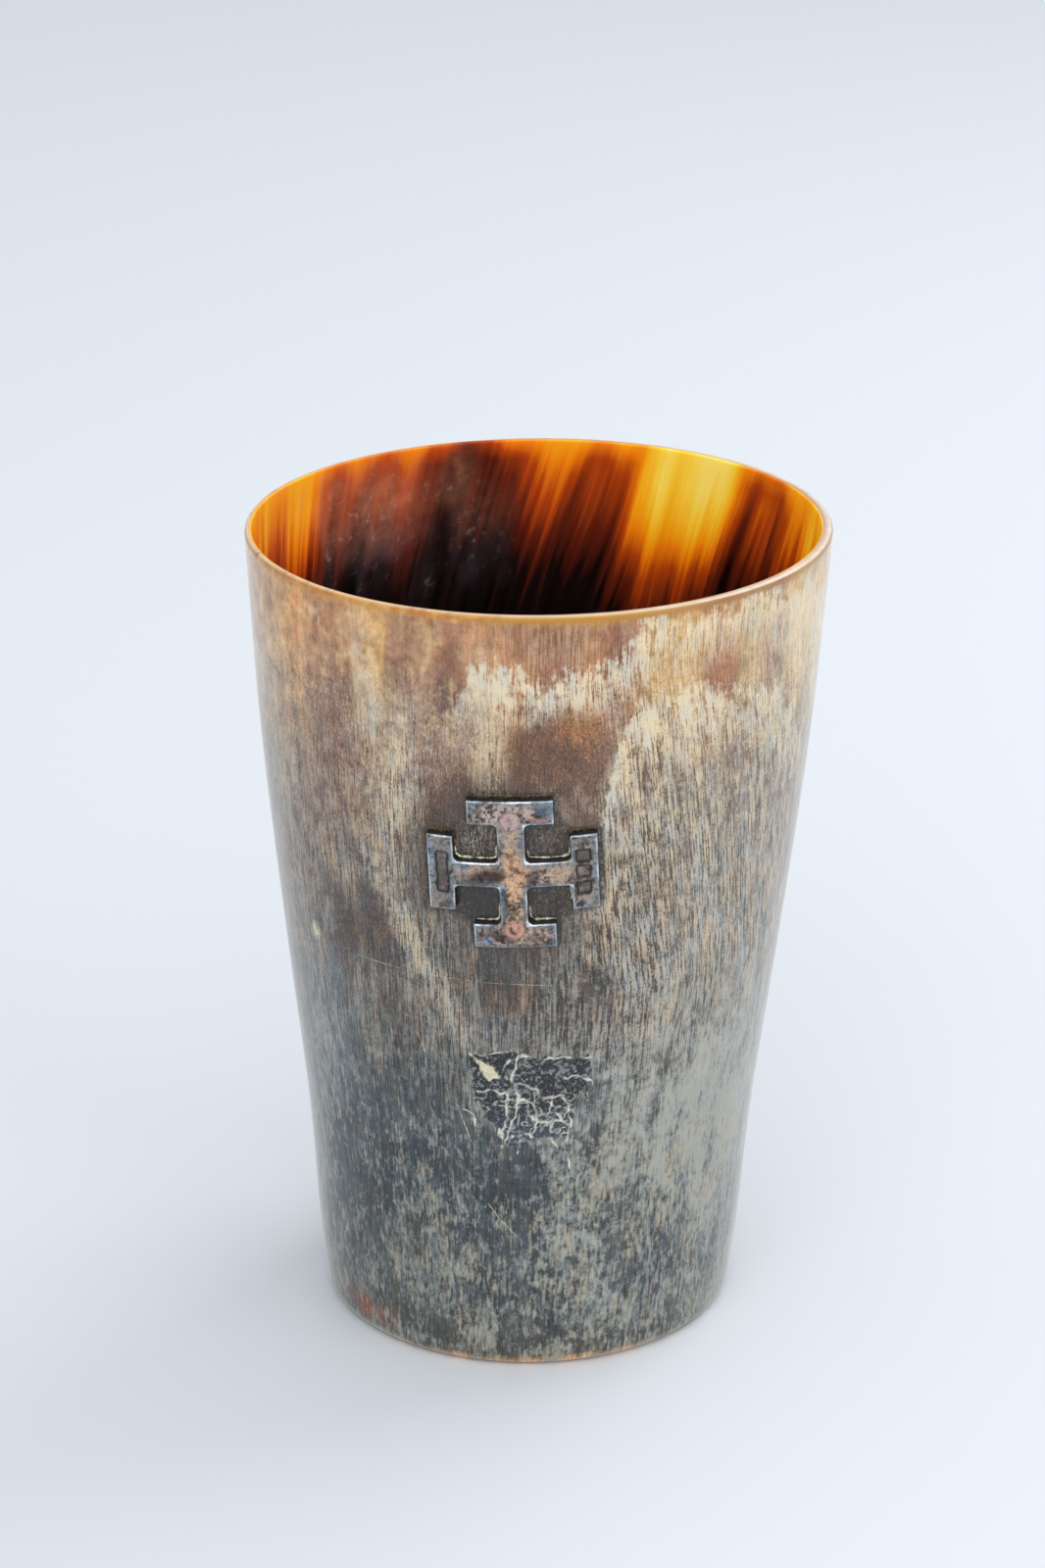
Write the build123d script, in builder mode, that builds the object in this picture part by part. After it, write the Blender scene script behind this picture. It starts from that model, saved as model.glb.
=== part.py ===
"""A horn beaker with a riveted silver cross, in millimetres.

The beaker stands on z = 0 with +Z up. The origin is on the table under the
middle of the rim, and the cross faces -Y.
"""

import os
from math import cos, radians, sin

from build123d import *

os.makedirs("parts", exist_ok=True)

# The horn: mean outside radius at even steps of height, from foot to rim
HORN_RADII = [27.9, 29.0, 29.7, 30.55, 31.7, 32.85, 33.95, 35.0, 35.95, 36.7, 37.3, 37.8]
HEIGHT = 110.0
LEAN = 1.4  # the foot's centre is this far to -X of the rim's centre
RIM_OVAL = 0.018  # share by which the rim's half axes differ from its mean radius
OVAL_GROWTH = 1.5  # power by which the oval grows from a round foot
OVAL_TURN = 14.0  # degrees from +X to the rim's long axis

# The bore: a horn is thick near its tip, where the foot is, and thin at its mouth
RIM_WALL = 1.25
FOOT_WALL = 3.8
WALL_GROWTH = 2.0  # power by which the wall thickens towards the foot
RIM_BORE_SHIFT = 0.3  # the bore is this far to -X at the rim, so the lip is uneven
LIP_OUTER_ROUND = 0.55
LIP_INNER_ROUND = 0.3
FOOT_ROUND = 2.2
FOOT_INNER_CHAMFER = 0.4

# The floor: a bevelled disc sprung into a groove in the bore
FLOOR_BOTTOM = 3.2  # underside of the disc above the table
FLOOR_THICKNESS = 2.6
FLOOR_NOSE = 1.0  # thickness left at the tip of the bevel
FLOOR_RADIUS = 25.9  # to the tip of the bevel, in the bottom of the groove
BEVEL_LENGTH = 2.4
HOLLOW_RADIUS = 20.0  # the turner's shallow hollow in the floor's upper face
HOLLOW_DEPTH = 0.5

# The cross: each of its four arms ends in a bar
BADGE_HEIGHT = 75.2  # its middle above the table
BADGE_REACH = 35.2  # the wall behind its middle, from the horn's centre line
BADGE_FLARE = 5.1  # degrees that the wall leans outwards behind it
BADGE_TURN = 2.0  # degrees that it was set askew
BADGE_WIDTH = 21.6
BADGE_TALL = 20.8
BADGE_THICKNESS = 1.2
BADGE_BEVEL = 0.2
BLANK_DEPTH = 5.0  # reach of the cross each way before it is cut to the wall's curve
STEM_WIDTH = 3.5
BAR_LENGTH = 10.5
TOP_BAR_LENGTH = 11.0
BAR_DEPTH = 3.35
INNER_CORNER_ROUND = 0.7

# The rivets: countersunk heads filed flush, tails peened inside the cup
RIVET_SPACING = 15.4
SHANK_RADIUS = 0.8
HEAD_RADIUS = 1.3
TAIL_RADIUS = 1.6
TAIL_HEIGHT = 0.8
DRILL_DEPTH = 4.0


def axis_x(height):
    """X of the leaning horn's centre line at a height."""
    return -LEAN * (1 - height / HEIGHT)


def wall_thickness(height):
    """Thickness of the horn at a height."""
    return RIM_WALL + (FOOT_WALL - RIM_WALL) * (1 - height / HEIGHT) ** WALL_GROWTH


def horn_profile():
    """Pair each mean outside radius with its height."""
    step = HEIGHT / (len(HORN_RADII) - 1)
    return [(index * step, radius) for index, radius in enumerate(HORN_RADII)]


def horn_section(height, radius, shift=0.0):
    """Sketch one oval section of the horn, moved by shift along X."""
    oval = RIM_OVAL * (height / HEIGHT) ** OVAL_GROWTH
    with BuildSketch(Plane.XY.offset(height)) as section:
        with Locations((axis_x(height) + shift, 0)):
            Ellipse(radius * (1 + oval), radius * (1 - oval), rotation=OVAL_TURN)
    return section.sketch


def solid_horn(growth):
    """Loft the horn with no bore, with growth added to every radius."""
    with BuildPart() as horn:
        loft([horn_section(height, radius + growth) for height, radius in horn_profile()])
    return horn.part


def bore_core():
    """Loft the space inside the horn."""
    sections = []
    for height, radius in horn_profile():
        shift = -RIM_BORE_SHIFT * height / HEIGHT
        sections.append(horn_section(height, radius - wall_thickness(height), shift))
    with BuildPart() as core:
        loft(sections)
    return core.part


def rivet_plane(offset):
    """Plane square to the cross, with its origin on the wall at an offset up the stem."""
    return Plane(
        origin=badge_plane.from_local_coords((0, offset, 0)),
        x_dir=badge_plane.x_dir,
        z_dir=badge_plane.z_dir,
    )


def is_inner_corner(vertex):
    """True for a corner of the cross where a stem meets a stem or a bar."""
    return min(abs(vertex.X), abs(vertex.Y)) < STEM_WIDTH


outer_horn = solid_horn(0.0)
badge_horn = solid_horn(BADGE_THICKNESS)
bore = bore_core()

flare, turn = radians(BADGE_FLARE), radians(BADGE_TURN)
badge_plane = Plane(
    origin=(axis_x(BADGE_HEIGHT), -BADGE_REACH, BADGE_HEIGHT),
    x_dir=(cos(turn), -sin(turn) * sin(flare), sin(turn) * cos(flare)),
    z_dir=(0, -cos(flare), -sin(flare)),
)
rivet_planes = {
    "badge_rivet_upper": rivet_plane(RIVET_SPACING / 2),
    "badge_rivet_lower": rivet_plane(-RIVET_SPACING / 2),
}

# Floor: turned from horn, hollowed a little above, with a bevelled edge
floor_centre = (axis_x(FLOOR_BOTTOM), 0, FLOOR_BOTTOM)
floor_axis = Axis(floor_centre, (0, 0, 1))
bevel_rise = (FLOOR_THICKNESS - FLOOR_NOSE) / 2
bevel_start = FLOOR_RADIUS - BEVEL_LENGTH
with BuildPart() as base_disc:
    with BuildSketch(Plane(origin=floor_centre, x_dir=(1, 0, 0), z_dir=(0, -1, 0))):
        with BuildLine():
            Polyline(
                (0, FLOOR_THICKNESS - HOLLOW_DEPTH),
                (0, 0),
                (bevel_start, 0),
                (FLOOR_RADIUS, bevel_rise),
                (FLOOR_RADIUS, bevel_rise + FLOOR_NOSE),
                (bevel_start, FLOOR_THICKNESS),
                (HOLLOW_RADIUS, FLOOR_THICKNESS),
            )
            TangentArc(
                (0, FLOOR_THICKNESS - HOLLOW_DEPTH),
                (HOLLOW_RADIUS, FLOOR_THICKNESS),
                tangent=(1, 0),
            )
        make_face()
    revolve(axis=floor_axis)
base_disc.part.label = "base_disc"
export_step(base_disc.part, "parts/base_disc.step")

# Wall: the bored horn, grooved by the floor's own edge and drilled for the rivets
with BuildPart() as horn_wall:
    add(outer_horn)
    add(bore, mode=Mode.SUBTRACT)
    lip_inner, lip_outer = faces().sort_by(Axis.Z)[-1].edges().sort_by(SortBy.LENGTH)
    foot_inner, foot_outer = faces().sort_by(Axis.Z)[0].edges().sort_by(SortBy.LENGTH)
    fillet(lip_outer, LIP_OUTER_ROUND)
    fillet(lip_inner, LIP_INNER_ROUND)
    fillet(foot_outer, FOOT_ROUND)
    chamfer(foot_inner, FOOT_INNER_CHAMFER)
    add(base_disc.part, mode=Mode.SUBTRACT)
    with Locations(*rivet_planes.values()):
        Hole(SHANK_RADIUS, DRILL_DEPTH)
horn_wall.part.label = "horn_wall"
export_step(horn_wall.part, "parts/horn_wall.step")

# Rivets: a domed tail bedded on the bore, a shank through the wall and a tapered head
wall_behind = wall_thickness(BADGE_HEIGHT)
tail_end = -wall_behind - TAIL_HEIGHT
tail_root = -wall_behind + SHANK_RADIUS  # inside the wall, so that the bore trims the tail
rivets = []
for name, plane in rivet_planes.items():
    profile_plane = Plane(origin=plane.origin, x_dir=plane.x_dir, z_dir=-plane.y_dir)
    rivet_axis = Axis(plane.origin, plane.z_dir)
    with BuildPart() as rivet:
        with BuildSketch(profile_plane):
            with BuildLine():
                TangentArc((0, tail_end), (TAIL_RADIUS, -wall_behind), tangent=(1, 0))
                Polyline(
                    (TAIL_RADIUS, -wall_behind),
                    (TAIL_RADIUS, tail_root),
                    (0, tail_root),
                    (0, tail_end),
                )
            make_face()
        revolve(axis=rivet_axis)
        add(bore, mode=Mode.INTERSECT)
        with BuildSketch(profile_plane):
            with BuildLine():
                Polyline(
                    (0, tail_end + TAIL_HEIGHT / 2),
                    (SHANK_RADIUS, tail_end + TAIL_HEIGHT / 2),
                    (SHANK_RADIUS, 0),
                    (HEAD_RADIUS, BADGE_THICKNESS),
                    (HEAD_RADIUS, 2 * BADGE_THICKNESS),
                    (0, 2 * BADGE_THICKNESS),
                    close=True,
                )
            make_face()
        revolve(axis=rivet_axis)
        add(badge_horn, mode=Mode.INTERSECT)
    rivet.part.label = name
    export_step(rivet.part, f"parts/{name}.step")
    rivets.append(rivet.part)

# Cross: cut from flat, curved to the wall, bevelled in front and countersunk
with BuildPart() as cross_badge:
    with BuildSketch(badge_plane):
        Rectangle(BADGE_WIDTH, STEM_WIDTH)
        Rectangle(STEM_WIDTH, BADGE_TALL)
        with GridLocations(BADGE_WIDTH - BAR_DEPTH, 0, 2, 1):
            Rectangle(BAR_DEPTH, BAR_LENGTH)
        with Locations((0, (BADGE_TALL - BAR_DEPTH) / 2)):
            Rectangle(TOP_BAR_LENGTH, BAR_DEPTH)
        with Locations((0, -(BADGE_TALL - BAR_DEPTH) / 2)):
            Rectangle(BAR_LENGTH, BAR_DEPTH)
        fillet(vertices().filter_by(is_inner_corner), INNER_CORNER_ROUND)
    extrude(amount=BLANK_DEPTH, both=True)
    add(badge_horn, mode=Mode.INTERSECT)
    front_face = faces().sort_by(Axis(badge_plane.origin, badge_plane.z_dir))[-1]
    chamfer(front_face.edges(), BADGE_BEVEL)
    add(outer_horn, mode=Mode.SUBTRACT)
    for rivet_solid in rivets:
        add(rivet_solid, mode=Mode.SUBTRACT)
cross_badge.part.label = "cross_badge"
export_step(cross_badge.part, "parts/cross_badge.step")
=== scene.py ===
# %% [markdown]
# A drinking cup cut from one length of cow horn, with a small silver cross on
# its front. The solids come from a CAD model that was packed before this lesson
# starts. Blender's work is the looks: fibres, stains, tarnish, light and camera.
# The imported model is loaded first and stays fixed, so that every piece made
# here has a place to go to and a box to stay inside.

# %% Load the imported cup
from itertools import product
from math import cos, pi, radians, sin

import bmesh
import bpy
import numpy as np
from mathutils import Matrix, Vector
from mathutils.bvhtree import BVHTree


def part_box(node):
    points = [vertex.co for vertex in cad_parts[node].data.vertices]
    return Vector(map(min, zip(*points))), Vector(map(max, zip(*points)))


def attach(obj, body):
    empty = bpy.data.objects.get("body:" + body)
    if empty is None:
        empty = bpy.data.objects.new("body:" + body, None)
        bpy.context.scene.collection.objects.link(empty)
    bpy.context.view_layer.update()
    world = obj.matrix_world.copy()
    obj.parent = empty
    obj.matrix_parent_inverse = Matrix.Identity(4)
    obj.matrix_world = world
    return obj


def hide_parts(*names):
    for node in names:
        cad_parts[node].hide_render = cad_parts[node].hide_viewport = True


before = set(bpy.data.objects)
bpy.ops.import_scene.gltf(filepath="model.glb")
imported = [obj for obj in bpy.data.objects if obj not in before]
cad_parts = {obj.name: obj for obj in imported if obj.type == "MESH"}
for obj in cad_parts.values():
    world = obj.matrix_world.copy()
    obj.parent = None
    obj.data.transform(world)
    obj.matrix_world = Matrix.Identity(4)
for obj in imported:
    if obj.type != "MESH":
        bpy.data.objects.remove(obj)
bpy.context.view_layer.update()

# %% [markdown]
# The camera stands half a metre in front of the cup and above its rim. It looks
# down at about 22 degrees with a long lens, so that the mouth shows as an oval.
# Its numbers come from fitting the rim and the foot of the cup to a picture.

# %% Camera
MM = 0.001
CAMERA_PLACE = (42.15, -538.70, 289.99)
CAMERA_TURN = (68.13, 0.0, 4.7)


def into_scene(name, data):
    """Put new data into the scene as an object."""
    made = bpy.data.objects.new(name, data)
    bpy.context.scene.collection.objects.link(made)
    return made


camera_data = bpy.data.cameras.new("camera")
camera_data.lens = 100
camera_data.sensor_width = 36
camera_data.clip_start = 0.01
camera = into_scene("camera", camera_data)
camera.location = Vector(CAMERA_PLACE) * MM
camera.rotation_euler = [radians(angle) for angle in CAMERA_TURN]
bpy.context.scene.camera = camera
bpy.context.scene.view_settings.view_transform = "Standard"
print("camera", round(camera.location.length, 3), "m from the foot")

# %% [markdown]
# Recipes made of nodes are long to write out. This small helper makes a node,
# fills in its sockets and joins it to others in one line. It serves the shape
# trees of Geometry Nodes and the finishes alike, because both are node trees.


# %% A helper for node trees
class Graph:
    """Makes and joins nodes in one tree, so that a recipe reads downwards."""

    def __init__(self, tree):
        self.tree = tree

    def set(self, socket, value):
        """Join a socket to another one, or give it a plain value."""
        if isinstance(value, bpy.types.NodeSocket):
            self.tree.links.new(value, socket)
        else:
            socket.default_value = value

    def node(self, kind, inputs=None, **settings):
        """Make one node."""
        made = self.tree.nodes.new(kind)
        for name, value in settings.items():
            setattr(made, name, value)
        self.fill(made, inputs or {})
        return made

    def fill(self, made, inputs):
        """Set several sockets of a node."""
        for key, value in inputs.items():
            self.set(made.inputs[key], value)

    def shape(self, kind, geometry, inputs=None, **settings):
        """Run one Geometry Nodes node on a shape."""
        inputs = {"Geometry": geometry, **(inputs or {})}
        return self.node("GeometryNode" + kind, inputs, **settings).outputs[0]

    def math(self, operation, *values):
        """Work out one number."""
        return self.node("ShaderNodeMath", dict(enumerate(values)), operation=operation).outputs[0]

    def times(self, first, *others):
        """Multiply numbers."""
        for other in others:
            first = self.math("MULTIPLY", first, other)
        return first

    def plus(self, first, *others):
        """Add numbers."""
        for other in others:
            first = self.math("ADD", first, other)
        return first

    def swing(self, start, *noises):
        """Add noises of (noise from 0 to 1, weight), so that each swings a number both ways."""
        for noise, weight in noises:
            start = self.plus(start, self.times(self.math("SUBTRACT", noise, 0.5), weight))
        return start

    def vector(self, operation, *values):
        """Work out one vector."""
        return self.node("ShaderNodeVectorMath", dict(enumerate(values)), operation=operation).outputs[0]

    def spread(self, value, low, high, new_low=0.0, new_high=1.0):
        """Stretch low..high to new_low..new_high and stop at the ends."""
        numbers = dict(enumerate((value, low, high, new_low, new_high)))
        return self.node("ShaderNodeMapRange", numbers).outputs[0]

    def between(self, share, first, second):
        """Go from one value to another as a share goes from 0 to 1."""
        return self.spread(share, 0.0, 1.0, first, second)

    def blend(self, share, first, second, kind="MIX"):
        """Mix two colours."""
        inputs = {0: share, 6: first, 7: second}
        return self.node("ShaderNodeMix", inputs, data_type="RGBA", blend_type=kind).outputs[2]

    def attribute(self, name, output="Fac"):
        """Read a value that is painted on the mesh."""
        return self.node("ShaderNodeAttribute", attribute_name=name).outputs[output]


def new_tree(name, kind, sockets):
    """Start a node tree. Each socket is (name, 'INPUT' or 'OUTPUT', type, value)."""
    tree = bpy.data.node_groups.new(name, kind)
    for label, way, socket_type, value in sockets:
        made = tree.interface.new_socket(label, in_out=way, socket_type="NodeSocket" + socket_type)
        if value is not None:
            made.default_value = value
    graph = Graph(tree)
    return graph, graph.node("NodeGroupInput").outputs, graph.node("NodeGroupOutput").inputs


def colour(red, green, blue):
    """Turn screen values from 0 to 255 into the linear colour that Blender works in."""
    screen = np.array([red, green, blue]) / 255
    light = np.where(screen <= 0.04045, screen / 12.92, ((screen + 0.055) / 1.055) ** 2.4)
    return (*[float(value) for value in light], 1.0)


print("a mid grey of 128 is", round(colour(128, 128, 128)[0], 3), "in linear light")

# %% [markdown]
# The horn is a tube that leans a little, widens upwards and goes slightly oval
# towards its mouth. It could be copied from the CAD mesh, but that is made of
# long thin triangles that can't hold fibres or dents. So rays are sent at the
# CAD wall at many heights, to ask for its radius outside and inside, and a fine
# mesh is turned from the answers.

# %% Measure the horn with rays
HEIGHT = 110.0
LEAN = 1.4
RIM_OVAL = 0.018
OVAL_GROWTH = 1.5
OVAL_TURN = 14.0
BORE_SHIFT = 0.3

wall_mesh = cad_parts["horn_wall"].data
wall_tree = BVHTree.FromPolygons(
    [vertex.co / MM for vertex in wall_mesh.vertices],
    [tuple(face.vertices) for face in wall_mesh.polygons],
)


def centre_x(height, inside=0.0):
    """X of the middle of the horn, or of its bore, at a height in mm."""
    return -LEAN * (1 - height / HEIGHT) - inside * BORE_SHIFT * height / HEIGHT


def ovalness(height, angle):
    """Share of the mean radius that the oval horn has in a direction."""
    growth = RIM_OVAL * np.clip(height / HEIGHT, 0, 1) ** OVAL_GROWTH
    return 1 + growth * np.cos(2 * (angle - radians(OVAL_TURN)))


def ring_radius(height, inside):
    """Mean radius of the CAD wall at a height, from outside or from the bore."""
    found = []
    for angle in np.linspace(0.1, 2 * pi + 0.1, 24, endpoint=False):
        way = Vector((cos(angle), sin(angle), 0))
        middle = Vector((centre_x(height, inside), 0, height))
        start, aim = (middle, way) if inside else (middle + way * 90, -way)
        hit = wall_tree.ray_cast(start, aim)[0]
        found.append((hit - middle).length / ovalness(height, angle))
    return float(np.median(found))


print("outside radius at the rim", round(ring_radius(109.2, 0), 2), "mm")

# %% [markdown]
# The section of the wall is one closed line: up the outside from the foot, over
# the lip, down the bore, round the groove that holds the floor, and back to the
# foot. Steps are close together where the line bends and wider where it is
# nearly straight. The outside is drawn 0.04 mm small, to stay inside the box.

# %% The closed section of the wall
SAFETY = 0.04
FOOT_TOP = 2.3
BADGE_FROM, BADGE_TO = 60, 90
LIP_FROM = 107.6
LIP_ROUND = 0.75
BORE_LIP_ROUND = 0.4


def mesh_of(name, points, edges=(), faces=()):
    """Make a mesh from points in millimetres."""
    mesh = bpy.data.meshes.new(name)
    mesh.from_pydata([Vector(point) * MM for point in points], edges, faces)
    return mesh


foot_steps = FOOT_TOP * (1 - np.cos(np.linspace(0.16, pi / 2, 8)))
lip_steps = HEIGHT - LIP_ROUND * (1 - np.sin(np.linspace(0.0, 1.42, 7)))
low_steps = np.linspace(FOOT_TOP, BADGE_FROM, 42)[1:]
badge_steps = np.linspace(BADGE_FROM, BADGE_TO, 37)[1:]
high_steps = [*np.linspace(BADGE_TO, LIP_FROM, 18)[1:], *np.linspace(LIP_FROM, lip_steps[0], 9)[1:-1]]
outside_heights = [*foot_steps, *low_steps, *badge_steps, *high_steps, *lip_steps]
bore_heights = [
    *(HEIGHT - BORE_LIP_ROUND * (1 - np.cos(np.linspace(0.25, pi / 2, 5)))),
    *np.linspace(HEIGHT - BORE_LIP_ROUND, 8.0, 44)[1:],
    *(6.4, 5.75, 5.0, 4.1, 3.25, 3.15, 1.6, 0.42, 0.2, 0.05),
]
section = [(ring_radius(height, 0) - SAFETY, 0.0, height) for height in outside_heights]
section += [(ring_radius(height, 1), 1.0, height) for height in bore_heights]
section = [(radius, side, min(height, HEIGHT - SAFETY)) for radius, side, height in section]
section.append(section[0])
section_mesh = mesh_of("horn_section", section)
print("section points:", len(section))

# %% [markdown]
# Turning the section is a rule, so Geometry Nodes does it. A grid has one column
# for each step round the cup and one row for each point of the section. Every
# grid point looks up its section point (radius, side, height) and moves to its
# place on the leaning oval. The first and last columns meet at the back of the
# cup, where Merge by Distance sews them together after the UV map is stored.

# %% Geometry Nodes tree that turns the horn
turning, given, result = new_tree(
    "turned horn",
    "GeometryNodeTree",
    [
        ("Section", "INPUT", "Geometry", None),
        ("Steps Round", "INPUT", "Int", 540),
        ("Height", "INPUT", "Float", HEIGHT * MM),
        ("Lean", "INPUT", "Float", LEAN * MM),
        ("Rim Oval", "INPUT", "Float", RIM_OVAL),
        ("Oval Growth", "INPUT", "Float", OVAL_GROWTH),
        ("Oval Turn", "INPUT", "Float", radians(OVAL_TURN)),
        ("Bore Shift", "INPUT", "Float", BORE_SHIFT * MM),
        ("Outside", "INPUT", "Material", None),
        ("Bore", "INPUT", "Material", None),
        ("Wall", "OUTPUT", "Geometry", None),
    ],
)
rows = turning.node("GeometryNodeAttributeDomainSize", {0: given["Section"]}).outputs[0]
columns = turning.plus(given["Steps Round"], 1)
grid = turning.node("GeometryNodeMeshGrid", {"Vertices X": columns, "Vertices Y": rows})
index = turning.node("GeometryNodeInputIndex").outputs[0]
row = turning.math("MODULO", index, rows)
column = turning.math("FLOOR", turning.math("DIVIDE", index, rows))
share_round = turning.math("DIVIDE", column, given["Steps Round"])
position = turning.node("GeometryNodeInputPosition").outputs[0]
section_point = turning.shape(
    "SampleIndex", given["Section"], {"Value": position, "Index": row}, data_type="FLOAT_VECTOR"
)
point = turning.node("ShaderNodeSeparateXYZ", {0: section_point}).outputs
inside_flag = turning.math("DIVIDE", point[1], MM)
angle = turning.math("MULTIPLY_ADD", share_round, 2 * pi, pi / 2)
rise = turning.math("DIVIDE", point[2], given["Height"])
growth = turning.math("POWER", turning.math("MAXIMUM", rise, 0.0), given["Oval Growth"])
twice = turning.times(turning.math("SUBTRACT", angle, given["Oval Turn"]), 2.0)
oval_here = turning.times(growth, given["Rim Oval"], turning.math("COSINE", twice))
reach = turning.times(point[0], turning.plus(oval_here, 1.0))
lean_here = turning.times(turning.math("SUBTRACT", rise, 1.0), given["Lean"])
shift_here = turning.times(rise, inside_flag, given["Bore Shift"])
middle_x = turning.math("SUBTRACT", lean_here, shift_here)
place_x = turning.math("MULTIPLY_ADD", reach, turning.math("COSINE", angle), middle_x)
place_y = turning.times(reach, turning.math("SINE", angle))
place = turning.node("ShaderNodeCombineXYZ", {0: place_x, 1: place_y, 2: point[2]}).outputs[0]
turned = turning.shape("SetPosition", grid.outputs[0], {"Position": place})
share_up = turning.math("DIVIDE", row, rows)
flat_place = turning.node("ShaderNodeCombineXYZ", {0: share_round, 1: share_up}).outputs[0]
with_uv = turning.shape(
    "StoreNamedAttribute",
    turned,
    {"Name": "UVMap", "Value": flat_place},
    data_type="FLOAT2",
    domain="CORNER",
)
with_side = turning.shape(
    "StoreNamedAttribute",
    with_uv,
    {"Name": "inside", "Value": inside_flag},
    data_type="FLOAT",
    domain="POINT",
)
sewn = turning.shape("MergeByDistance", with_side, {"Distance": 0.000001})
smooth = turning.shape("SetShadeSmooth", sewn)
real = turning.shape("RealizeInstances", smooth)
skinned = turning.shape("SetMaterial", real, {"Material": given["Outside"]})
in_bore = turning.node("GeometryNodeInputNamedAttribute", {"Name": "inside"}, data_type="FLOAT").outputs[0]
bore_only = turning.math("GREATER_THAN", in_bore, 0.75)
lined = turning.shape("SetMaterial", skinned, {"Selection": bore_only, "Material": given["Bore"]})
turning.set(result["Wall"], lined)
print("turning tree has", len(turning.tree.nodes), "nodes")

# %% [markdown]
# The tree is put on the section as a modifier. Its inputs are set by their
# identifiers before the object is evaluated, then the result is turned into a
# plain mesh, because the export drops what is still a modifier's instances.


# %% Turn the wall
def bake(holder, name):
    """Turn an object and its modifiers into a plain mesh, and drop the object."""
    bpy.context.view_layer.update()
    seen = holder.evaluated_get(bpy.context.evaluated_depsgraph_get())
    mesh = bpy.data.meshes.new_from_object(seen)
    bpy.data.objects.remove(holder)
    mesh.name = name
    return mesh


def bake_tree(name, source, graph, values):
    """Run a Geometry Nodes tree on a mesh and keep the result as a plain mesh."""
    holder = into_scene(name + "_holder", source)
    modifier = holder.modifiers.new("shape", "NODES")
    modifier.node_group = graph.tree
    for item in graph.tree.interface.items_tree:
        if item.item_type == "SOCKET" and item.in_out == "INPUT" and item.name in values:
            modifier[item.identifier] = values[item.name]
    return bake(holder, name)


def add_piece(name, mesh, slot, *nodes):
    """Show a finished mesh as a piece of the cup."""
    piece = into_scene(name, mesh)
    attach(piece, "root")
    if nodes:
        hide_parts(*nodes)


horn_outside = bpy.data.materials.new("weathered horn")
horn_bore = bpy.data.materials.new("amber horn")
wall = bake_tree(
    "horn_wall_skin",
    section_mesh,
    turning,
    {"Steps Round": 540, "Outside": horn_outside, "Bore": horn_bore},
)
print("wall has", len(wall.vertices), "points and", len(wall.polygons), "faces")

# %% [markdown]
# From here on each point of the wall is known by where it is on the cup: degrees
# round from the front, millimetres above the table, and whether it is inside.
# A third set of coordinates runs round a plain cylinder, so that fibres drawn
# with it keep the same width from foot to rim and have no seam at the back. In
# the bore they slant, as the streaks of colour do there, and on the right of the
# front they lean a little too.


# %% Where every point of the wall is
def points_of(mesh):
    """The points of a mesh in millimetres."""
    flat = np.empty(len(mesh.vertices) * 3)
    mesh.vertices.foreach_get("co", flat)
    return flat.reshape(-1, 3) / MM


spots = points_of(wall)
count = len(spots)
bore_share = np.empty(count)
wall.attributes["inside"].data.foreach_get("value", bore_share)
high = spots[:, 2]
from_axis = spots[:, :2] - np.stack([centre_x(high, bore_share), np.zeros(count)], axis=1)
round_angle = np.arctan2(from_axis[:, 1], from_axis[:, 0])
turned_from_front = (np.degrees(round_angle) + 90 + 180) % 360 - 180
print("degrees from the front:", turned_from_front.min().round(1), "to", turned_from_front.max().round(1))

# %% Coordinates for the fibres
FIBRE_RADIUS = 34.0
BORE_SLANTS = [
    # degrees from the front, degrees of slant a millimetre
    (0, 0.31), (100, 0.48), (136, 0.52), (158, 0.3), (178, 0.52), (200, 0.46), (260, 0.3), (360, 0.31),
]
BORE_SLANT_DEPTH = 40
OUTSIDE_SLANT = 0.26
OUTSIDE_SLANT_TOP = 8
OUTSIDE_SLANT_DEPTH = 45

depth = HEIGHT - high
bore_slant = np.interp(turned_from_front % 360, *zip(*BORE_SLANTS)) * np.minimum(depth, BORE_SLANT_DEPTH)
slanted = round_angle - np.radians(bore_share * bore_slant)
leaning = np.interp(turned_from_front, [0, 35, 70, 130], [0, 1, 1, 0]) * (1 - bore_share)
slant_depth = np.clip(depth - OUTSIDE_SLANT_TOP, 0, OUTSIDE_SLANT_DEPTH)
slanted -= np.radians(leaning * OUTSIDE_SLANT * slant_depth)
fibre_spots = np.stack([FIBRE_RADIUS * np.cos(slanted), FIBRE_RADIUS * np.sin(slanted), high], axis=1)


def paint(mesh, name, values, kind="FLOAT"):
    """Keep values on the points of a mesh for its finish to read."""
    if kind == "FLOAT_COLOR":
        values = np.column_stack([values, np.ones(len(values))])
    layer = mesh.attributes.new(name, kind, "POINT")
    field = {"FLOAT": "value", "FLOAT_VECTOR": "vector", "FLOAT_COLOR": "color"}[kind]
    layer.data.foreach_set(field, np.asarray(values, dtype=np.float32).ravel())


paint(wall, "fibre", fibre_spots, "FLOAT_VECTOR")
print("fibres slant by up to", bore_slant.max().round(1), "degrees in the bore")

# %% [markdown]
# A hand-scraped horn isn't perfectly smooth. It has shallow flats left by the
# scraper, fibres that stand a few hundredths of a millimetre proud, and a pit
# near the rim. Soft random values on a lattice give the flats and fibres, with
# long cells up the cup and short ones round it, and they only ever cut inwards.

# %% Scraped flats, raised fibres and a pit
CELLS = 32  # cells of the lattice before it repeats


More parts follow.
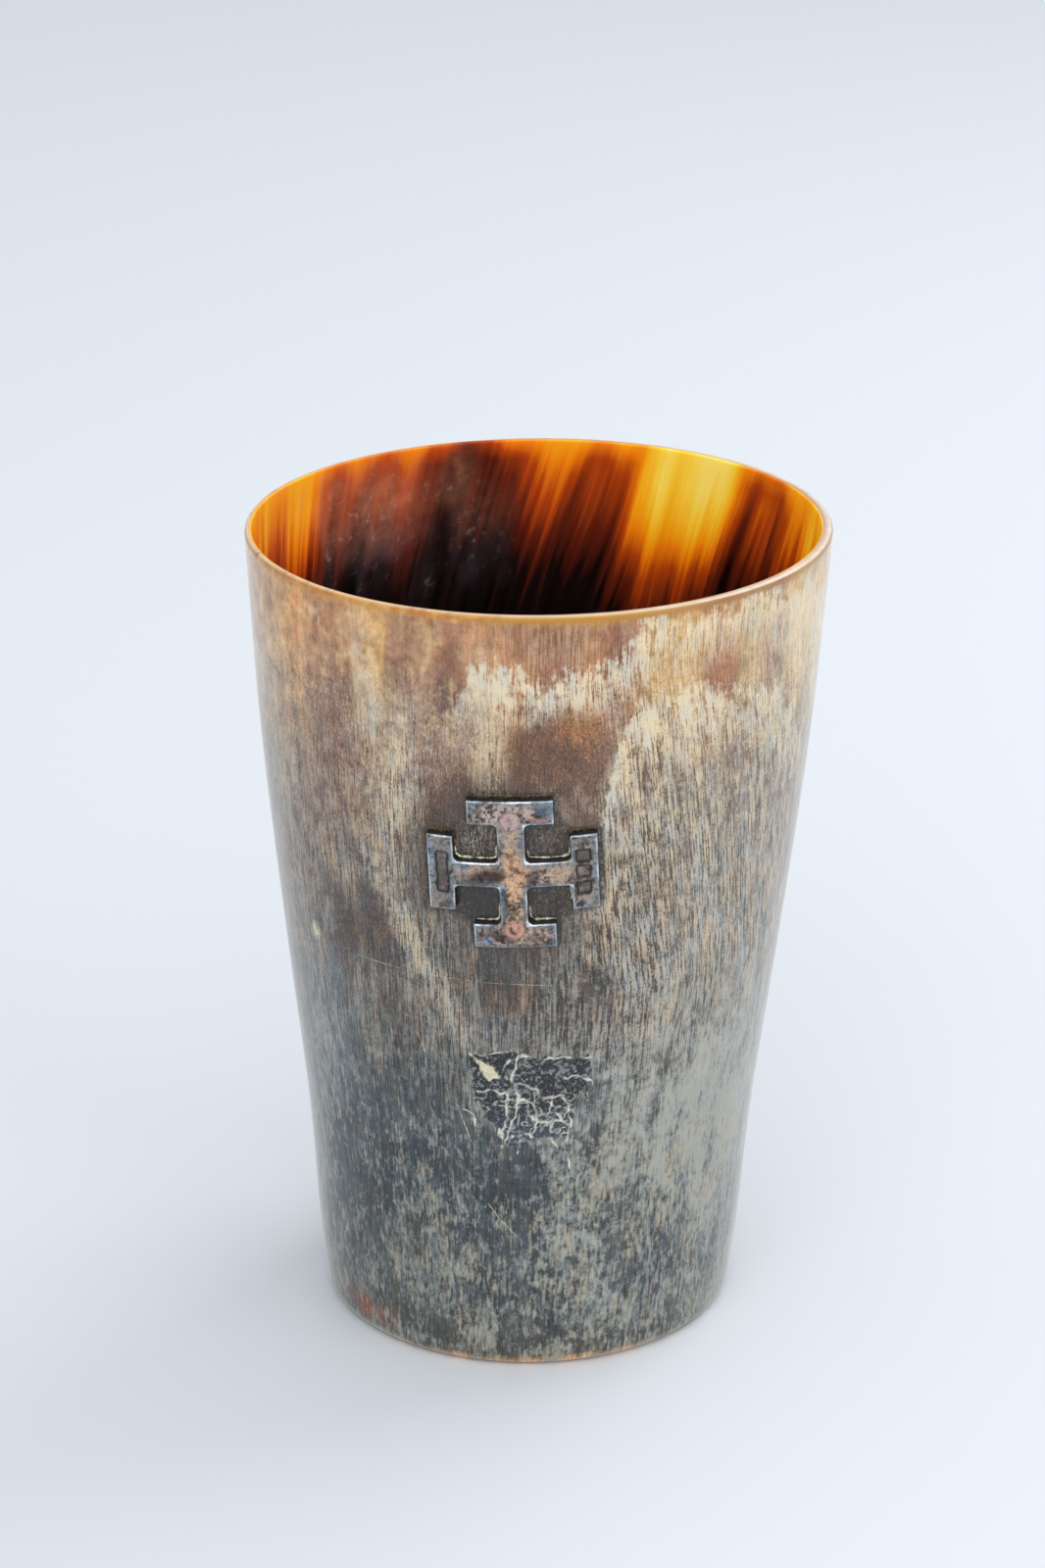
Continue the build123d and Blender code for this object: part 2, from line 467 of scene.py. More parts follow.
def lattice(points, cell, seed):
    """Smooth random values from -1 to 1 that change about once a cell."""
    table = np.random.default_rng(seed).uniform(-1, 1, (CELLS, CELLS, CELLS))
    scaled = points / np.asarray(cell)
    low = np.floor(scaled).astype(int)
    share = scaled - low
    share = share * share * (3 - 2 * share)
    mixed = np.zeros(len(points))
    for corner in product((0, 1), repeat=3):
        index = (low + corner) % CELLS
        weight = np.prod(np.where(corner, share, 1 - share), axis=1)
        mixed += weight * table[index[:, 0], index[:, 1], index[:, 2]]
    return mixed


def ease(low, high, value):
    """Go smoothly from 0 at low to 1 at high."""
    share = np.clip((value - low) / (high - low), 0, 1)
    return share * share * (3 - 2 * share)


def away(degrees):
    """Degrees from each point of the wall to a direction, the short way round."""
    return (turned_from_front - degrees + 180) % 360 - 180


PIT_DEGREES, PIT_HEIGHT = -43.7, 105.75
PIT_CUT = 0.4
FLATS_CUT = 0.06
FIBRES_CUT = 0.03
FOOT_PITS_CUT = 0.035
BADGE_HEIGHT = 75.2
RIM_MM_PER_DEGREE = 0.65
BADGE_MM_PER_DEGREE = 0.61

outside = bore_share < 0.5
flats = FLATS_CUT * (1 + lattice(fibre_spots, (9, 9, 55), 3)) / 2
fibres = FIBRES_CUT * (1 + lattice(fibre_spots, (0.9, 0.9, 12), 5)) / 2
pitting = FOOT_PITS_CUT * ease(34, 12, high) * (1 + lattice(fibre_spots, (1.6, 1.6, 2.4), 7)) / 2
cut = np.where(outside, flats + fibres + pitting, 0.5 * (flats + fibres))
pit_distance = np.hypot(away(PIT_DEGREES) * RIM_MM_PER_DEGREE, high - PIT_HEIGHT)
pit_distance += 0.2 * lattice(fibre_spots, (0.5, 0.5, 0.5), 9)
cut += outside * PIT_CUT * ease(0.95, 0.3, pit_distance)
cut *= ease(0.0, 1.5, high) * (1 - 0.7 * ease(108.6, 109.4, high))
behind_badge = ease(13.5, 10.5, np.hypot(away(0) * BADGE_MM_PER_DEGREE, high - BADGE_HEIGHT))
cut *= 1 - 0.8 * behind_badge
outwards = np.stack([np.cos(round_angle), np.sin(round_angle), np.zeros(count)], axis=1)
inward = np.where(outside, -cut, cut)
moved = spots + outwards * inward[:, None]
wall.vertices.foreach_set("co", (moved * MM).ravel())
wall.update()
print("deepest cut", cut.max().round(3), "mm")

# %% [markdown]
# Colour comes next. On the outside the horn itself goes from amber at the mouth
# through brown and grey-brown to a cold dark grey at the foot. It could be one
# gradient with noise, but every horn has its own map of stains, so this one is
# painted: a ground that follows height, then named stains laid over it, each
# with a place, a size, a lean and a colour, and with a ragged edge.

# %% The ground colour of the outside
ragged_edge = (
    0.6 * lattice(fibre_spots, (1.6, 1.6, 7), 21)
    + 0.5 * lattice(fibre_spots, (4, 4, 9), 22)
    + 0.45 * lattice(fibre_spots, (1.1, 1.1, 2.4), 23)
)

GROUND_STEPS = [
    (0, (78, 76, 70)),
    (12, (64, 70, 74)),
    (28, (60, 70, 76)),
    (42, (63, 69, 72)),
    (56, (76, 70, 66)),
    (70, (84, 75, 69)),
    (84, (112, 92, 79)),
    (97, (138, 106, 84)),
    (106, (164, 118, 78)),
    (110, (180, 124, 70)),
]
STAIN_EDGE = 0.85
STAIN_RAGGED = 0.75


def linear(rgb):
    """A colour in linear light as an array."""
    return np.array(colour(*rgb)[:3])


def mix(first, second, share):
    """Mix painted colours by a share at each point."""
    return first + share[:, None] * (second - first)


def tint(base, rgb, share):
    """Mix one colour into painted colours by a share at each point."""
    return mix(base, linear(rgb), share)


def stain(degrees, height, wide, tall, lean=0.0):
    """Share of a stain at each point of the wall. The lean is in degrees a millimetre."""
    rise = high - height
    distance = np.hypot((away(degrees) - lean * rise) / wide, rise / tall)
    return ease(1 + STAIN_EDGE, 1 - STAIN_EDGE, distance + STAIN_RAGGED * ragged_edge)


def lay_over(base, stains):
    """Lay stains of (degrees, height, wide, tall, lean, colour, strength) over a colour."""
    for degrees, height, wide, tall, lean, rgb, strength in stains:
        base = tint(base, rgb, strength * stain(degrees, height, wide, tall, lean))
    return base


def colours_along(values, places, colours):
    """Colours that go from one to the next as a value passes their places."""
    parts = np.array(colours).T
    return np.stack([np.interp(values, places, part) for part in parts], axis=1)


step_heights, step_colours = zip(*GROUND_STEPS)
wander = high + 3.0 * ragged_edge
ground = colours_along(wander, step_heights, [linear(rgb) for rgb in step_colours])
print("ground runs from", ground.min(0).round(3), "to", ground.max(0).round(3))

# %% [markdown]
# Near the mouth the horn is clear enough to show columns of colour that run up
# with its fibres: gold, orange, red-brown and plum. They are written as named
# tones round the rim, and they fade into the ground about 20 mm further down.

# %% Columns of clear horn under the rim
HORN_TONES = {
    "straw": (226, 188, 116),
    "gold": (232, 178, 88),
    "orange": (230, 152, 64),
    "sand": (204, 158, 88),
    "parchment": (196, 163, 116),
    "tan": (188, 132, 76),
    "fawn": (164, 118, 90),
    "copper": (176, 110, 56),
    "chestnut": (158, 98, 58),
    "russet": (140, 78, 48),
    "plum": (122, 74, 62),
    "mahogany": (122, 58, 38),
    "umber": (96, 66, 54),
}
RIM_COLUMNS = [
    (-180, "chestnut"), (-165, "copper"), (-145, "umber"), (-120, "chestnut"), (-95, "tan"),
    (-66, "parchment"), (-57, "sand"), (-53, "gold"), (-48, "orange"), (-43, "copper"),
    (-38, "chestnut"), (-34, "tan"), (-31, "sand"), (-27, "sand"), (-23.5, "chestnut"), (-19, "copper"),
    (-16, "russet"), (-12.5, "plum"), (-9.5, "chestnut"), (-7, "tan"), (-3, "copper"), (2, "copper"),
    (5, "russet"), (11, "russet"), (14, "copper"), (18.5, "mahogany"), (21, "mahogany"),
    (23.5, "chestnut"), (28, "sand"), (34, "sand"), (39, "tan"), (43, "copper"), (46, "tan"),
    (49, "parchment"), (53, "parchment"), (58, "fawn"), (62, "sand"), (67, "straw"), (90, "tan"),
    (110, "copper"), (130, "sand"), (150, "sand"), (170, "chestnut"), (180, "chestnut"),
]
sidled = turned_from_front + 1.3 * lattice(fibre_spots, (2.2, 2.2, 26), 25)
sidled += 0.5 * lattice(fibre_spots, (0.8, 0.8, 14), 26)
column_places, column_tones = zip(*RIM_COLUMNS)
column_colours = np.array([linear(HORN_TONES[tone]) for tone in column_tones])
column_colours = column_colours + 0.2 * (column_colours.mean(0) - column_colours)
rim_tones = colours_along(sidled, column_places, column_colours)
ground = mix(ground, rim_tones, ease(82, 103, high + 4 * ragged_edge))
print("columns of colour:", len(RIM_COLUMNS))

# %% Named stains of the outside
OUTSIDE_STAINS = [
    # degrees, height, wide, tall, lean, colour, strength
    # The reddish brown left shoulder, dark under it, and a pale slanting streak
    (0, 75, 23, 13, 0.0, (82, 66, 58), 0.55),
    (-7.4, 79.6, 4.0, 2.6, 0.0, (112, 98, 62), 0.8),
    (-7.6, 70.8, 4.5, 3.0, 0.0, (44, 58, 66), 0.9),
    (-42, 94, 10, 8, 0.0, (118, 66, 52), 0.85),
    (-46, 80, 10, 8, 0.0, (104, 68, 58), 0.85),
    (-36, 84, 7, 6, 0.0, (104, 60, 50), 0.85),
    (-24, 91, 8, 8, 0.0, (124, 86, 70), 0.55),
    (-38, 94, 6, 11, 0.0, (112, 62, 56), 0.4),
    (-25.5, 93, 4, 7, 0.0, (112, 66, 60), 0.38),
    (-50, 105, 5, 4, 0.0, (228, 148, 62), 0.5),
    (-29.5, 104, 3, 5, 0.0, (222, 178, 104), 0.5),
    (-20, 97, 5, 7, 0.0, (108, 66, 64), 0.6),
    (-63, 98, 7, 9, 0.0, (146, 110, 100), 0.5),
    (-12.6, 100, 2.1, 4.4, 0.0, (88, 50, 56), 0.95),
    (-15, 84, 6, 4.5, 0.5, (92, 60, 48), 0.7),
    (15, 82, 5, 5, 0.0, (100, 74, 58), 0.75),
    (19, 69, 5, 8, 0.0, (84, 70, 62), 0.75),
    (-38, 63, 9, 7, 0.3, (66, 54, 51), 0.9),
    (-34, 73, 8, 6, 0.0, (88, 80, 76), 0.6),
    (-10, 58, 10, 5, 0.0, (68, 62, 58), 0.75),
    (6, 60, 10, 5, 0.0, (72, 66, 62), 0.7),
    (-21, 62, 2.6, 11, -0.86, (134, 126, 114), 0.6),
    (-50, 47, 8, 9, 0.0, (112, 124, 132), 0.7),
    # Gold, then brown above the cross, and red under the right of the rim
    (-4, 95, 2.8, 5, 0.0, (190, 146, 88), 0.8),
    (12, 96, 3, 3.5, 0.0, (184, 122, 62), 0.85),
    (5, 93.5, 7, 4, 0.0, (128, 86, 56), 0.8),
    (8, 89.5, 7, 4, 0.0, (102, 68, 50), 0.8),
    (6, 106.2, 9, 3.2, 0.0, (138, 88, 54), 0.35),
    (43, 101, 3.2, 4.5, 0.2, (172, 114, 78), 0.75),
    (58, 100, 3.6, 3, 0.2, (150, 114, 96), 0.7),
    (29, 90, 3, 5, 0.2, (128, 98, 78), 0.7),
    (47, 88, 4, 4, 0.2, (132, 106, 88), 0.7),
    (38, 80, 5, 6, 0.2, (104, 92, 84), 0.7),
    # Cold dark patches at the lower left and below the film
    (-28, 46, 12, 4.5, 0.0, (46, 55, 60), 0.85),
    (-31, 36, 14, 8, 0.0, (46, 58, 66), 0.8),
    (-48, 24, 10, 6, 0.0, (50, 62, 68), 0.85),
    (-34, 25, 8, 3.5, 0.0, (44, 54, 60), 0.8),
    (-1, 28, 11, 6, 0.0, (44, 51, 58), 0.85),
    (-22, 16, 12, 3, 0.0, (108, 106, 98), 0.5),
    # The silvery right side, horn grey with a painted reflection of the bright surroundings, and a dark cloud
    # near the foot
    (25, 70, 8, 7, 0.0, (98, 84, 74), 0.7),
    (50, 62, 20, 22, 0.0, (118, 113, 104), 0.7),
    (33, 51, 3, 3, 0.0, (118, 96, 84), 0.6),
    (28, 34, 7, 12, 0.0, (116, 110, 96), 0.7),
    (60, 34, 16, 18, 0.0, (144, 146, 144), 0.8),
    (41, 15, 6, 8, 0.0, (50, 56, 66), 0.85),
    (-46, 3.8, 8, 1.3, 0.0, (142, 70, 34), 0.9),
    # Chalky smudges near the foot and raw horn along its edge
    (24, 9.6, 1.0, 0.6, 0.0, (186, 196, 206), 0.6),
    (28, 9.8, 0.9, 0.7, 0.0, (190, 200, 210), 0.5),
    (34, 8.4, 2.0, 0.5, 0.0, (160, 170, 180), 0.5),
    (46, 9.6, 3.0, 0.5, 0.0, (170, 180, 190), 0.5),
    (8, 0.6, 38, 0.8, 0.0, (238, 176, 106), 0.95),
    # A chip at the left edge
    (-52, 60, 1.3, 0.6, 0.0, (236, 224, 190), 1.0),
    # The side that the cross turns its back on: pale over the golden streak
    (144, 84, 15, 34, 0.2, (186, 146, 92), 0.85),
    (110, 88, 9, 28, 0.2, (160, 106, 60), 0.75),
    (183, 90, 8, 26, 0.2, (156, 104, 60), 0.75),
    (-110, 92, 13, 22, 0.2, (150, 104, 66), 0.75),
    (-150, 80, 18, 30, 0.2, (78, 60, 52), 0.75),
    (100, 40, 18, 24, 0.0, (92, 88, 82), 0.6),
    (-85, 40, 18, 26, 0.0, (78, 84, 86), 0.6),
    (160, 28, 22, 16, 0.0, (60, 66, 70), 0.7),
    (-140, 26, 20, 12, 0.0, (104, 102, 96), 0.6),
]
ground = lay_over(ground, OUTSIDE_STAINS)
ground = tint(ground, (226, 206, 170), 0.6 * ease(1.25, 0.95, pit_distance))
ground = tint(ground, (44, 30, 22), 0.9 * ease(0.75, 0.4, pit_distance))
print("stains laid:", len(OUTSIDE_STAINS))

# %% [markdown]
# The silver cross is turned two degrees askew and lies back with the wall. Dirt
# and polish gather round it, so its place and outline are needed before it is
# made. A cross with barred arms is six boxes, and the distance to the nearest
# box tells how far any point is from the metal.

# %% Where the cross sits
BADGE_REACH = 35.2
FLARE = radians(5.1)
TURN = radians(2.0)
badge_middle = np.array([centre_x(BADGE_HEIGHT), -BADGE_REACH, BADGE_HEIGHT])
badge_right = np.array([cos(TURN), -sin(TURN) * sin(FLARE), sin(TURN) * cos(FLARE)])
badge_out = np.array([0.0, -cos(FLARE), -sin(FLARE)])
badge_up = np.cross(badge_out, badge_right)
CROSS_BOXES = [
    # middle right, middle up, half width, half height
    (0.0, 0.0, 10.8, 1.75),
    (0.0, 0.0, 1.75, 10.4),
    (-9.125, 0.0, 1.675, 5.25),
    (9.125, 0.0, 1.675, 5.25),
    (0.0, 8.725, 5.5, 1.675),
    (0.0, -8.725, 5.25, 1.675),
]


def box_distance(right, up, middle_right, middle_up, half_wide, half_tall):
    """Distance to a box, below zero inside it."""
    over_right = np.abs(right - middle_right) - half_wide
    over_up = np.abs(up - middle_up) - half_tall
    beyond = np.hypot(np.maximum(over_right, 0), np.maximum(over_up, 0))
    return beyond + np.minimum(np.maximum(over_right, over_up), 0)


def cross_distance(right, up):
    """Distance to the outline of the cross, below zero on the metal."""
    return np.min([box_distance(right, up, *box) for box in CROSS_BOXES], axis=0)


wall_from_cross = spots - badge_middle
wall_right = wall_from_cross @ badge_right
wall_up = wall_from_cross @ badge_up
print("cross stands", badge_middle.round(2), "mm")

# %% [markdown]
# Over the ground lies weathering: a pale bloom of dry fibres, dense where the
# horn has flaked and thin elsewhere. Only how much of it there is gets painted.
# The finish draws the single fibres later. The bloom hangs down in two rows like
# flames, each with a ragged bright crest. The upper crest climbs from the cross
# to the right of the rim, and the lower one stands some 8 mm below it.

# %% How much pale bloom there is
UPPER_CREST = [
    # degrees, height, millimetres to fade, strength
    (-180, 88, 24, 0.3), (-165, 92, 26, 0.36), (-150, 104, 30, 0.5), (-138, 101, 20, 0.4),
    (-120, 90, 24, 0.2), (-104, 95, 26, 0.4), (-92, 103, 26, 0.44), (-80, 98, 20, 0.3),
    (-68, 96, 20, 0.16), (-58, 99, 16, 0.0), (-20, 90, 6, 0.0), (-16, 92, 6, 0.04), (-12.5, 96, 6, 0.2),
    (-10, 100.5, 7, 0.5), (-8, 103, 9, 0.66), (-5, 103.4, 10, 0.74), (-2, 102.8, 10, 0.78),
    (4, 101.4, 7, 0.86), (9, 103, 8, 0.9), (15, 104.1, 9, 0.78), (18, 104.2, 10, 0.66),
    (22, 105.6, 11, 0.58), (28, 108.5, 12, 0.58), (36, 108.6, 11, 0.46), (48, 108.6, 8, 0.43),
    (58, 108.6, 12, 0.5), (74, 107, 24, 0.5), (88, 100, 30, 0.46), (100, 94, 28, 0.34),
    (116, 96, 22, 0.2), (128, 104, 30, 0.46), (142, 105, 26, 0.5), (158, 97, 22, 0.36),
    (180, 88, 24, 0.3),
]
LOWER_CREST = [
    # degrees, height, millimetres to fade, strength
    (-180, 72, 26, 0.3), (-160, 78, 24, 0.14), (-140, 76, 20, 0.0), (-124, 74, 22, 0.26),
    (-112, 79, 24, 0.34), (-96, 72, 20, 0.16), (-70, 76, 16, 0.1), (-55, 76, 10, 0.0),
    (17, 82, 14, 0.0), (19, 86, 16, 0.42), (20.5, 89.7, 18, 0.44), (23, 96.7, 20, 0.5),
    (26, 98.3, 22, 0.57), (34, 98.9, 20, 0.52), (39, 98.3, 17, 0.5), (44, 97, 15, 0.48),
    (51.5, 97.3, 15, 0.45), (59, 95.8, 17, 0.54), (68, 91, 22, 0.45), (78, 85, 22, 0.3),
    (92, 80, 24, 0.1), (108, 78, 26, 0.32), (122, 82, 22, 0.4), (136, 76, 20, 0.16),
    (158, 70, 24, 0.24), (180, 72, 26, 0.3),
]
PALE_STAINS = [
    # degrees, height, wide, tall, lean, amount
    (0, 76, 23, 13, 0.0, -0.1),
    (-7.4, 79.8, 3.4, 2.2, 0.0, 0.34),
    (-7.6, 70.8, 4.5, 3.0, 0.0, -0.1),
    (-42, 87, 11, 10, 0.0, -0.06),
    (-31, 101, 2.6, 6, 0.0, 0.22),
    (-34, 90, 3, 3, 0.0, 0.06),
    (-27, 93, 4, 4, 0.0, 0.14),
    (-24, 85, 6, 6, 0.0, 0.2),
    (-27, 77, 6, 6, 0.0, 0.06),
    (-31, 84, 1.1, 0.8, 0.0, 0.5),
    (-24.5, 83, 0.9, 0.7, 0.0, 0.4),
    (-5, 95, 3, 6, 0.0, 0.12),
    (24, 80, 4.0, 15, 0.2, 0.16),
    (36, 84, 4.0, 10, 0.3, 0.05),
    (-21, 62, 3, 11, -0.86, 0.3),
    (-38, 63, 9, 7, 0.3, -0.14),
    (-10, 58, 9, 5, 0.0, -0.08),
    (6, 62, 10, 6, 0.0, -0.06),
    (15, 82, 5, 5, 0.0, -0.1),
    # Paler over the right side: dry bloom with a painted reflection of the bright surroundings
    (48, 58, 26, 20, 0.0, 0.16),
    (54, 34, 20, 16, 0.0, 0.37),
    (28, 24, 14, 14, 0.0, 0.12),
    (9, 92, 7, 5, 0.1, -0.25),
    (-12.6, 100, 2.2, 5, 0.0, -0.06),
    (-15, 84.5, 6, 4.5, 0.3, -0.16),
    (43, 100.5, 4, 3, 0.0, -0.2),
    (-30, 38, 16, 14, 0.0, -0.13),
    (-17, 31, 5, 4.5, 0.0, 0.12),
    (-17, 48, 6, 5, 0.0, 0.06),
    (-24, 4.5, 13, 4, 0.0, -0.11),
    (-6, 13.5, 6, 4, 0.0, 0.12),
    (18, 22, 6, 5, 0.0, 0.1),
    (6, 28, 6, 7, 0.0, -0.02),
    (-48, 18, 12, 10, 0.0, -0.19),
    (38, 17, 10, 7, 0.0, -0.25),
    (-2, 28, 12, 7, 0.0, -0.1),
    (-46, 3.8, 8, 1.6, 0.0, -0.25),
]
PALE_HEIGHTS = [
    # height, amount
    (0, 0.3), (20, 0.3), (35, 0.27), (50, 0.13), (70, 0.11), (85, 0.14), (100, 0.09), (110, 0.05),
]
below_lip = 1 - ease(108.9, 109.4, high)


def hang_from(crest):
    """How far each point is below a crest, and how strong the bloom under it is there."""
    degrees, heights, fades, strengths = zip(*crest)
    below = np.interp(turned_from_front, degrees, heights) - high
    fade = np.interp(turned_from_front, degrees, fades)
    strength = np.interp(turned_from_front, degrees, strengths)
    return below, below_lip * strength * (1 - ease(0.05, 1.0, below / fade))


pale = np.interp(high, *zip(*PALE_HEIGHTS))
for degrees, height, wide, tall, lean, amount in PALE_STAINS:
    pale += amount * stain(degrees, height, wide, tall, lean)
pale = np.clip(pale * below_lip, 0, 1)
print("mean bloom", pale[outside].mean().round(3))

# %% [markdown]
# The bore was never scraped dry, so it still shows the horn's clear amber, with dark roots of colour that
# slant as they go down. One number for each point, the glow, says how clear the horn is there. It also
# carries painted light, brighter where the lamps shine through the wall at the back right and near the mouth,
# and painted shade that darkens it towards the bottom of the cup. A colour ramp in the finish turns it from
# near black through red-brown and orange to yellow.

# %% How clear the bore is, with its painted light and shade
# Clear horn and dark roots round the rim, with painted light where the lamps shine through the wall at the
# back right
GLOW_ROUND = [
    # degrees from the front at the rim, glow
    (0, 0.3), (40, 0.35), (80, 0.55), (97, 0.74), (106, 0.67), (113, 0.52), (119, 0.42), (128, 0.39),
    (133, 0.48), (136, 0.72), (139, 0.97), (144, 1.0), (147, 0.9), (150, 0.84), (154, 0.92),
    (159, 0.72), (162, 0.44), (168, 0.34), (172, 0.46), (178, 0.55), (184, 0.48), (188, 0.3),
    (196, 0.2), (204, 0.22), (210, 0.34), (225, 0.36), (233, 0.34), (236.5, 0.52), (242, 0.66),
    (250, 0.64), (265, 0.62), (285, 0.5), (320, 0.35), (360, 0.3),
]

start_angle = (turned_from_front - bore_slant) % 360
glow = np.interp(start_angle, *zip(*GLOW_ROUND))
# Painted light: the bore is painted lighter near its mouth
rim_painted_light = ease(5.5, 0.6, depth + 3.0 * lattice(fibre_spots, (3, 3, 60), 24) + 1.0)
rim_side = np.interp(start_angle, [186, 196, 234, 240], [1, 0.7, 0.7, 1])
glow += rim_painted_light * rim_side * np.maximum(0.66 - glow, 0.0)
# Painted shade: the bore darkens with depth, more slowly on the side lit through the wall
side_lit_through_wall = np.interp(start_angle, [80, 100, 160, 174], [0.0, 1.0, 1.0, 0.0])
depth_shade = np.interp(depth, [0, 5, 11, 18, 28, 105], [1.0, 0.92, 0.66, 0.28, 0.05, 0.02])
depth_shade_lit_side = np.interp(depth, [0, 5, 11, 18, 28, 105], [1.0, 0.97, 0.78, 0.4, 0.1, 0.02])
glow = (glow + 0.05) * (depth_shade + side_lit_through_wall * (depth_shade_lit_side - depth_shade))
glow += 0.3 * stain(-142.5, 80, 1.2, 1.0)
tongue = ease(0.5, 7.0, depth)
dust = 0.85 * stain(-136, 103, 14, 7) + 0.2 * stain(-146, 97, 13, 7) + 0.4 * stain(-161, 99, 7, 6)
dust += 0.2 * stain(-105, 106, 12, 5) + 0.5 * stain(167.5, 83, 5, 0.8)
print("glow runs from", glow.min().round(2), "to", glow.max().round(2))

# %% [markdown]
# Polishing cloths never reach the corners round a mount, so dirt stays there. It
# is painted by the distance to the outline of the cross, a little wider at the
# upper left, and by how far a point is inside the four windows of the cross.

# %% Dirt that gathers round the cross
FAR = 99.0

in_the_front = spots[:, 1] < 0
near_cross = np.where(in_the_front, cross_distance(wall_right, wall_up), FAR)
upper_left = np.clip((wall_up - wall_right) / 16, 0, 1)
grime = 0.6 * ease(0.8, 0.1, near_cross) + 0.5 * ease(1.2 + 5.0 * upper_left, 0.3, near_cross)
window = np.maximum(np.abs(wall_right) - 7.4, np.abs(wall_up) - 7.0)
left_dirt = np.where(wall_up > 0, 0.45, 0.9)
right_dirt = np.where(wall_up > 0, 0.66, 0.76)
window = np.where(in_the_front, window, FAR)
grime += np.where(wall_right < 0, left_dirt, right_dirt) * ease(0.8, -0.8, window)
grime = np.clip(grime * (1 + 0.25 * ragged_edge), 0, 1)
print("grimy points:", int((grime > 0.3).sum()))

# %% [markdown]
# The lip is worn smooth. On top it has a thin pale line, which is a painted highlight where light falls on
# the top of the lip. Under it is a soft band of amber on the left and brown on the right: the horn's own
# colour with a painted glow of light through the thin lip. Below the lip the left of the front has kept a
# clear, calm skin. Then all the painted layers go onto the points.

# %% The lip and the painted layers
LIP_AMBER = (190, 132, 34)
LIP_BROWN = (150, 106, 58)
LIP_TOP_HIGHLIGHT_AMBER = (240, 212, 170)
LIP_TOP_HIGHLIGHT_TAN = (242, 222, 202)

lip_share = ease(15, 50, away(0)) * ease(178, 140, away(0))
# The band under the lip: the horn's own amber and brown, with a painted glow of light through the thin lip
lip_band_and_glow = mix(linear(LIP_AMBER), linear(LIP_BROWN), lip_share)
# Painted highlight: the top of the lip is painted pale where light falls on it
lip_top_highlight = mix(linear(LIP_TOP_HIGHLIGHT_AMBER), linear(LIP_TOP_HIGHLIGHT_TAN), lip_share)
band_and_glow_share = ease(108.2, 109.5, high + 0.4 * ragged_edge) * (0.9 - 0.25 * lip_share) * outside
top_highlight_share = ease(109.8, 109.93, high) * outside * (0.9 + 0.2 * ragged_edge)
ground = mix(ground, lip_band_and_glow, band_and_glow_share)
ground = mix(ground, lip_top_highlight, top_highlight_share)
left_front = ease(3, -11, away(0)) * ease(-150, -110, away(0))
thin_skin = 0.25 * ease(-14, -30, away(0)) * ease(44, 60, high)
skin_share = left_front * np.maximum(ease(80, 97, high + 4 * ragged_edge), thin_skin)
paint(wall, "clear_skin", skin_share * outside)
paint(wall, "ground", ground, "FLOAT_COLOR")
paint(wall, "bloom", pale)
for crest_name, crest in (("upper", UPPER_CREST), ("lower", LOWER_CREST)):
    below, fall = hang_from(crest)
    paint(wall, crest_name + "_crest", np.clip(below, -20, 60))
    paint(wall, crest_name + "_fall", fall)
paint(wall, "grime", grime)
paint(wall, "glow", glow)
paint(wall, "dust", dust)
paint(wall, "tongue", tongue)
print("painted layers:", [layer.name for layer in wall.attributes if layer.domain == "POINT"])

# %% [markdown]
# Horn is made of fibres that run the length of the animal's horn, which is up
# the cup. All of its finishes need the same thing: noise that is narrow round
# the cup and long up it. That is a node group with a width and a length in
# millimetres, so that each finish can ask for coarse, middle and fine fibres.
# Width and length nearly alike, with much detail, give clouds instead.

# %% Shader group: fibres
fibre_group, given, result = new_tree(
    "horn fibres",
    "ShaderNodeTree",
    [
        ("Place", "INPUT", "Vector", None),
        ("Width", "INPUT", "Float", 0.3),
        ("Length", "INPUT", "Float", 6.0),
        ("Detail", "INPUT", "Float", 1.0),
        ("Roughness", "INPUT", "Float", 0.5),
        ("Seed", "INPUT", "Float", 0.0),
        ("Fibre", "OUTPUT", "Float", None),
    ],
)
one_round = fibre_group.math("DIVIDE", 1.0, given["Width"])
one_up = fibre_group.math("DIVIDE", 1.0, given["Length"])
squeeze = fibre_group.node("ShaderNodeCombineXYZ", {0: one_round, 1: one_round, 2: one_up}).outputs[0]
squeezed = fibre_group.vector("MULTIPLY", given["Place"], squeeze)
offset = fibre_group.node("ShaderNodeCombineXYZ", {0: given["Seed"], 1: given["Seed"], 2: given["Seed"]})
fibre_noise = fibre_group.node(
    "ShaderNodeTexNoise",
    {
        "Vector": fibre_group.vector("ADD", squeezed, offset.outputs[0]),
        "Scale": 1.0,
        "Detail": given["Detail"],
        "Roughness": given["Roughness"],
        "Distortion": 0.2,
    },
)
fibre_group.set(result["Fibre"], fibre_group.spread(fibre_noise.outputs[0], 0.25, 0.75))


def fibres_in(graph, place, width, length, seed, detail=1.0, roughness=0.5):
    """Place the fibre group in a finish."""
    made = graph.node("ShaderNodeGroup", node_tree=fibre_group.tree)
    sizes = {"Width": width, "Length": length, "Seed": seed, "Detail": detail, "Roughness": roughness}
    graph.fill(made, {"Place": place, **sizes})
    return made.outputs["Fibre"]


print("fibre group has", len(fibre_group.tree.nodes), "nodes")

# %% [markdown]
# The outside is a stack of layers: the painted ground, its own light and dark
# fibres, the dry bloom over it, and dirt. Noises of twelve sizes break them up.
# Wide ones say where the horn has dried, long ones are stripes and hairs, and
# small ones are specks and crumbs.


# %% Noises of the outside
def open_finish(material):
    """Return the graph of a material and its shader."""
    material.use_nodes = True
    return Graph(material.node_tree), material.node_tree.nodes["Principled BSDF"]


def by_height(low, high, at_low=0.0, at_high=1.0):
    """A value of the outside that changes with the height above the table."""
    return finish.spread(height_mm, low, high, at_low, at_high)


finish, shader = open_finish(horn_outside)
place = finish.attribute("fibre", "Vector")
height_mm = finish.node("ShaderNodeSeparateXYZ", {0: place}).outputs[2]

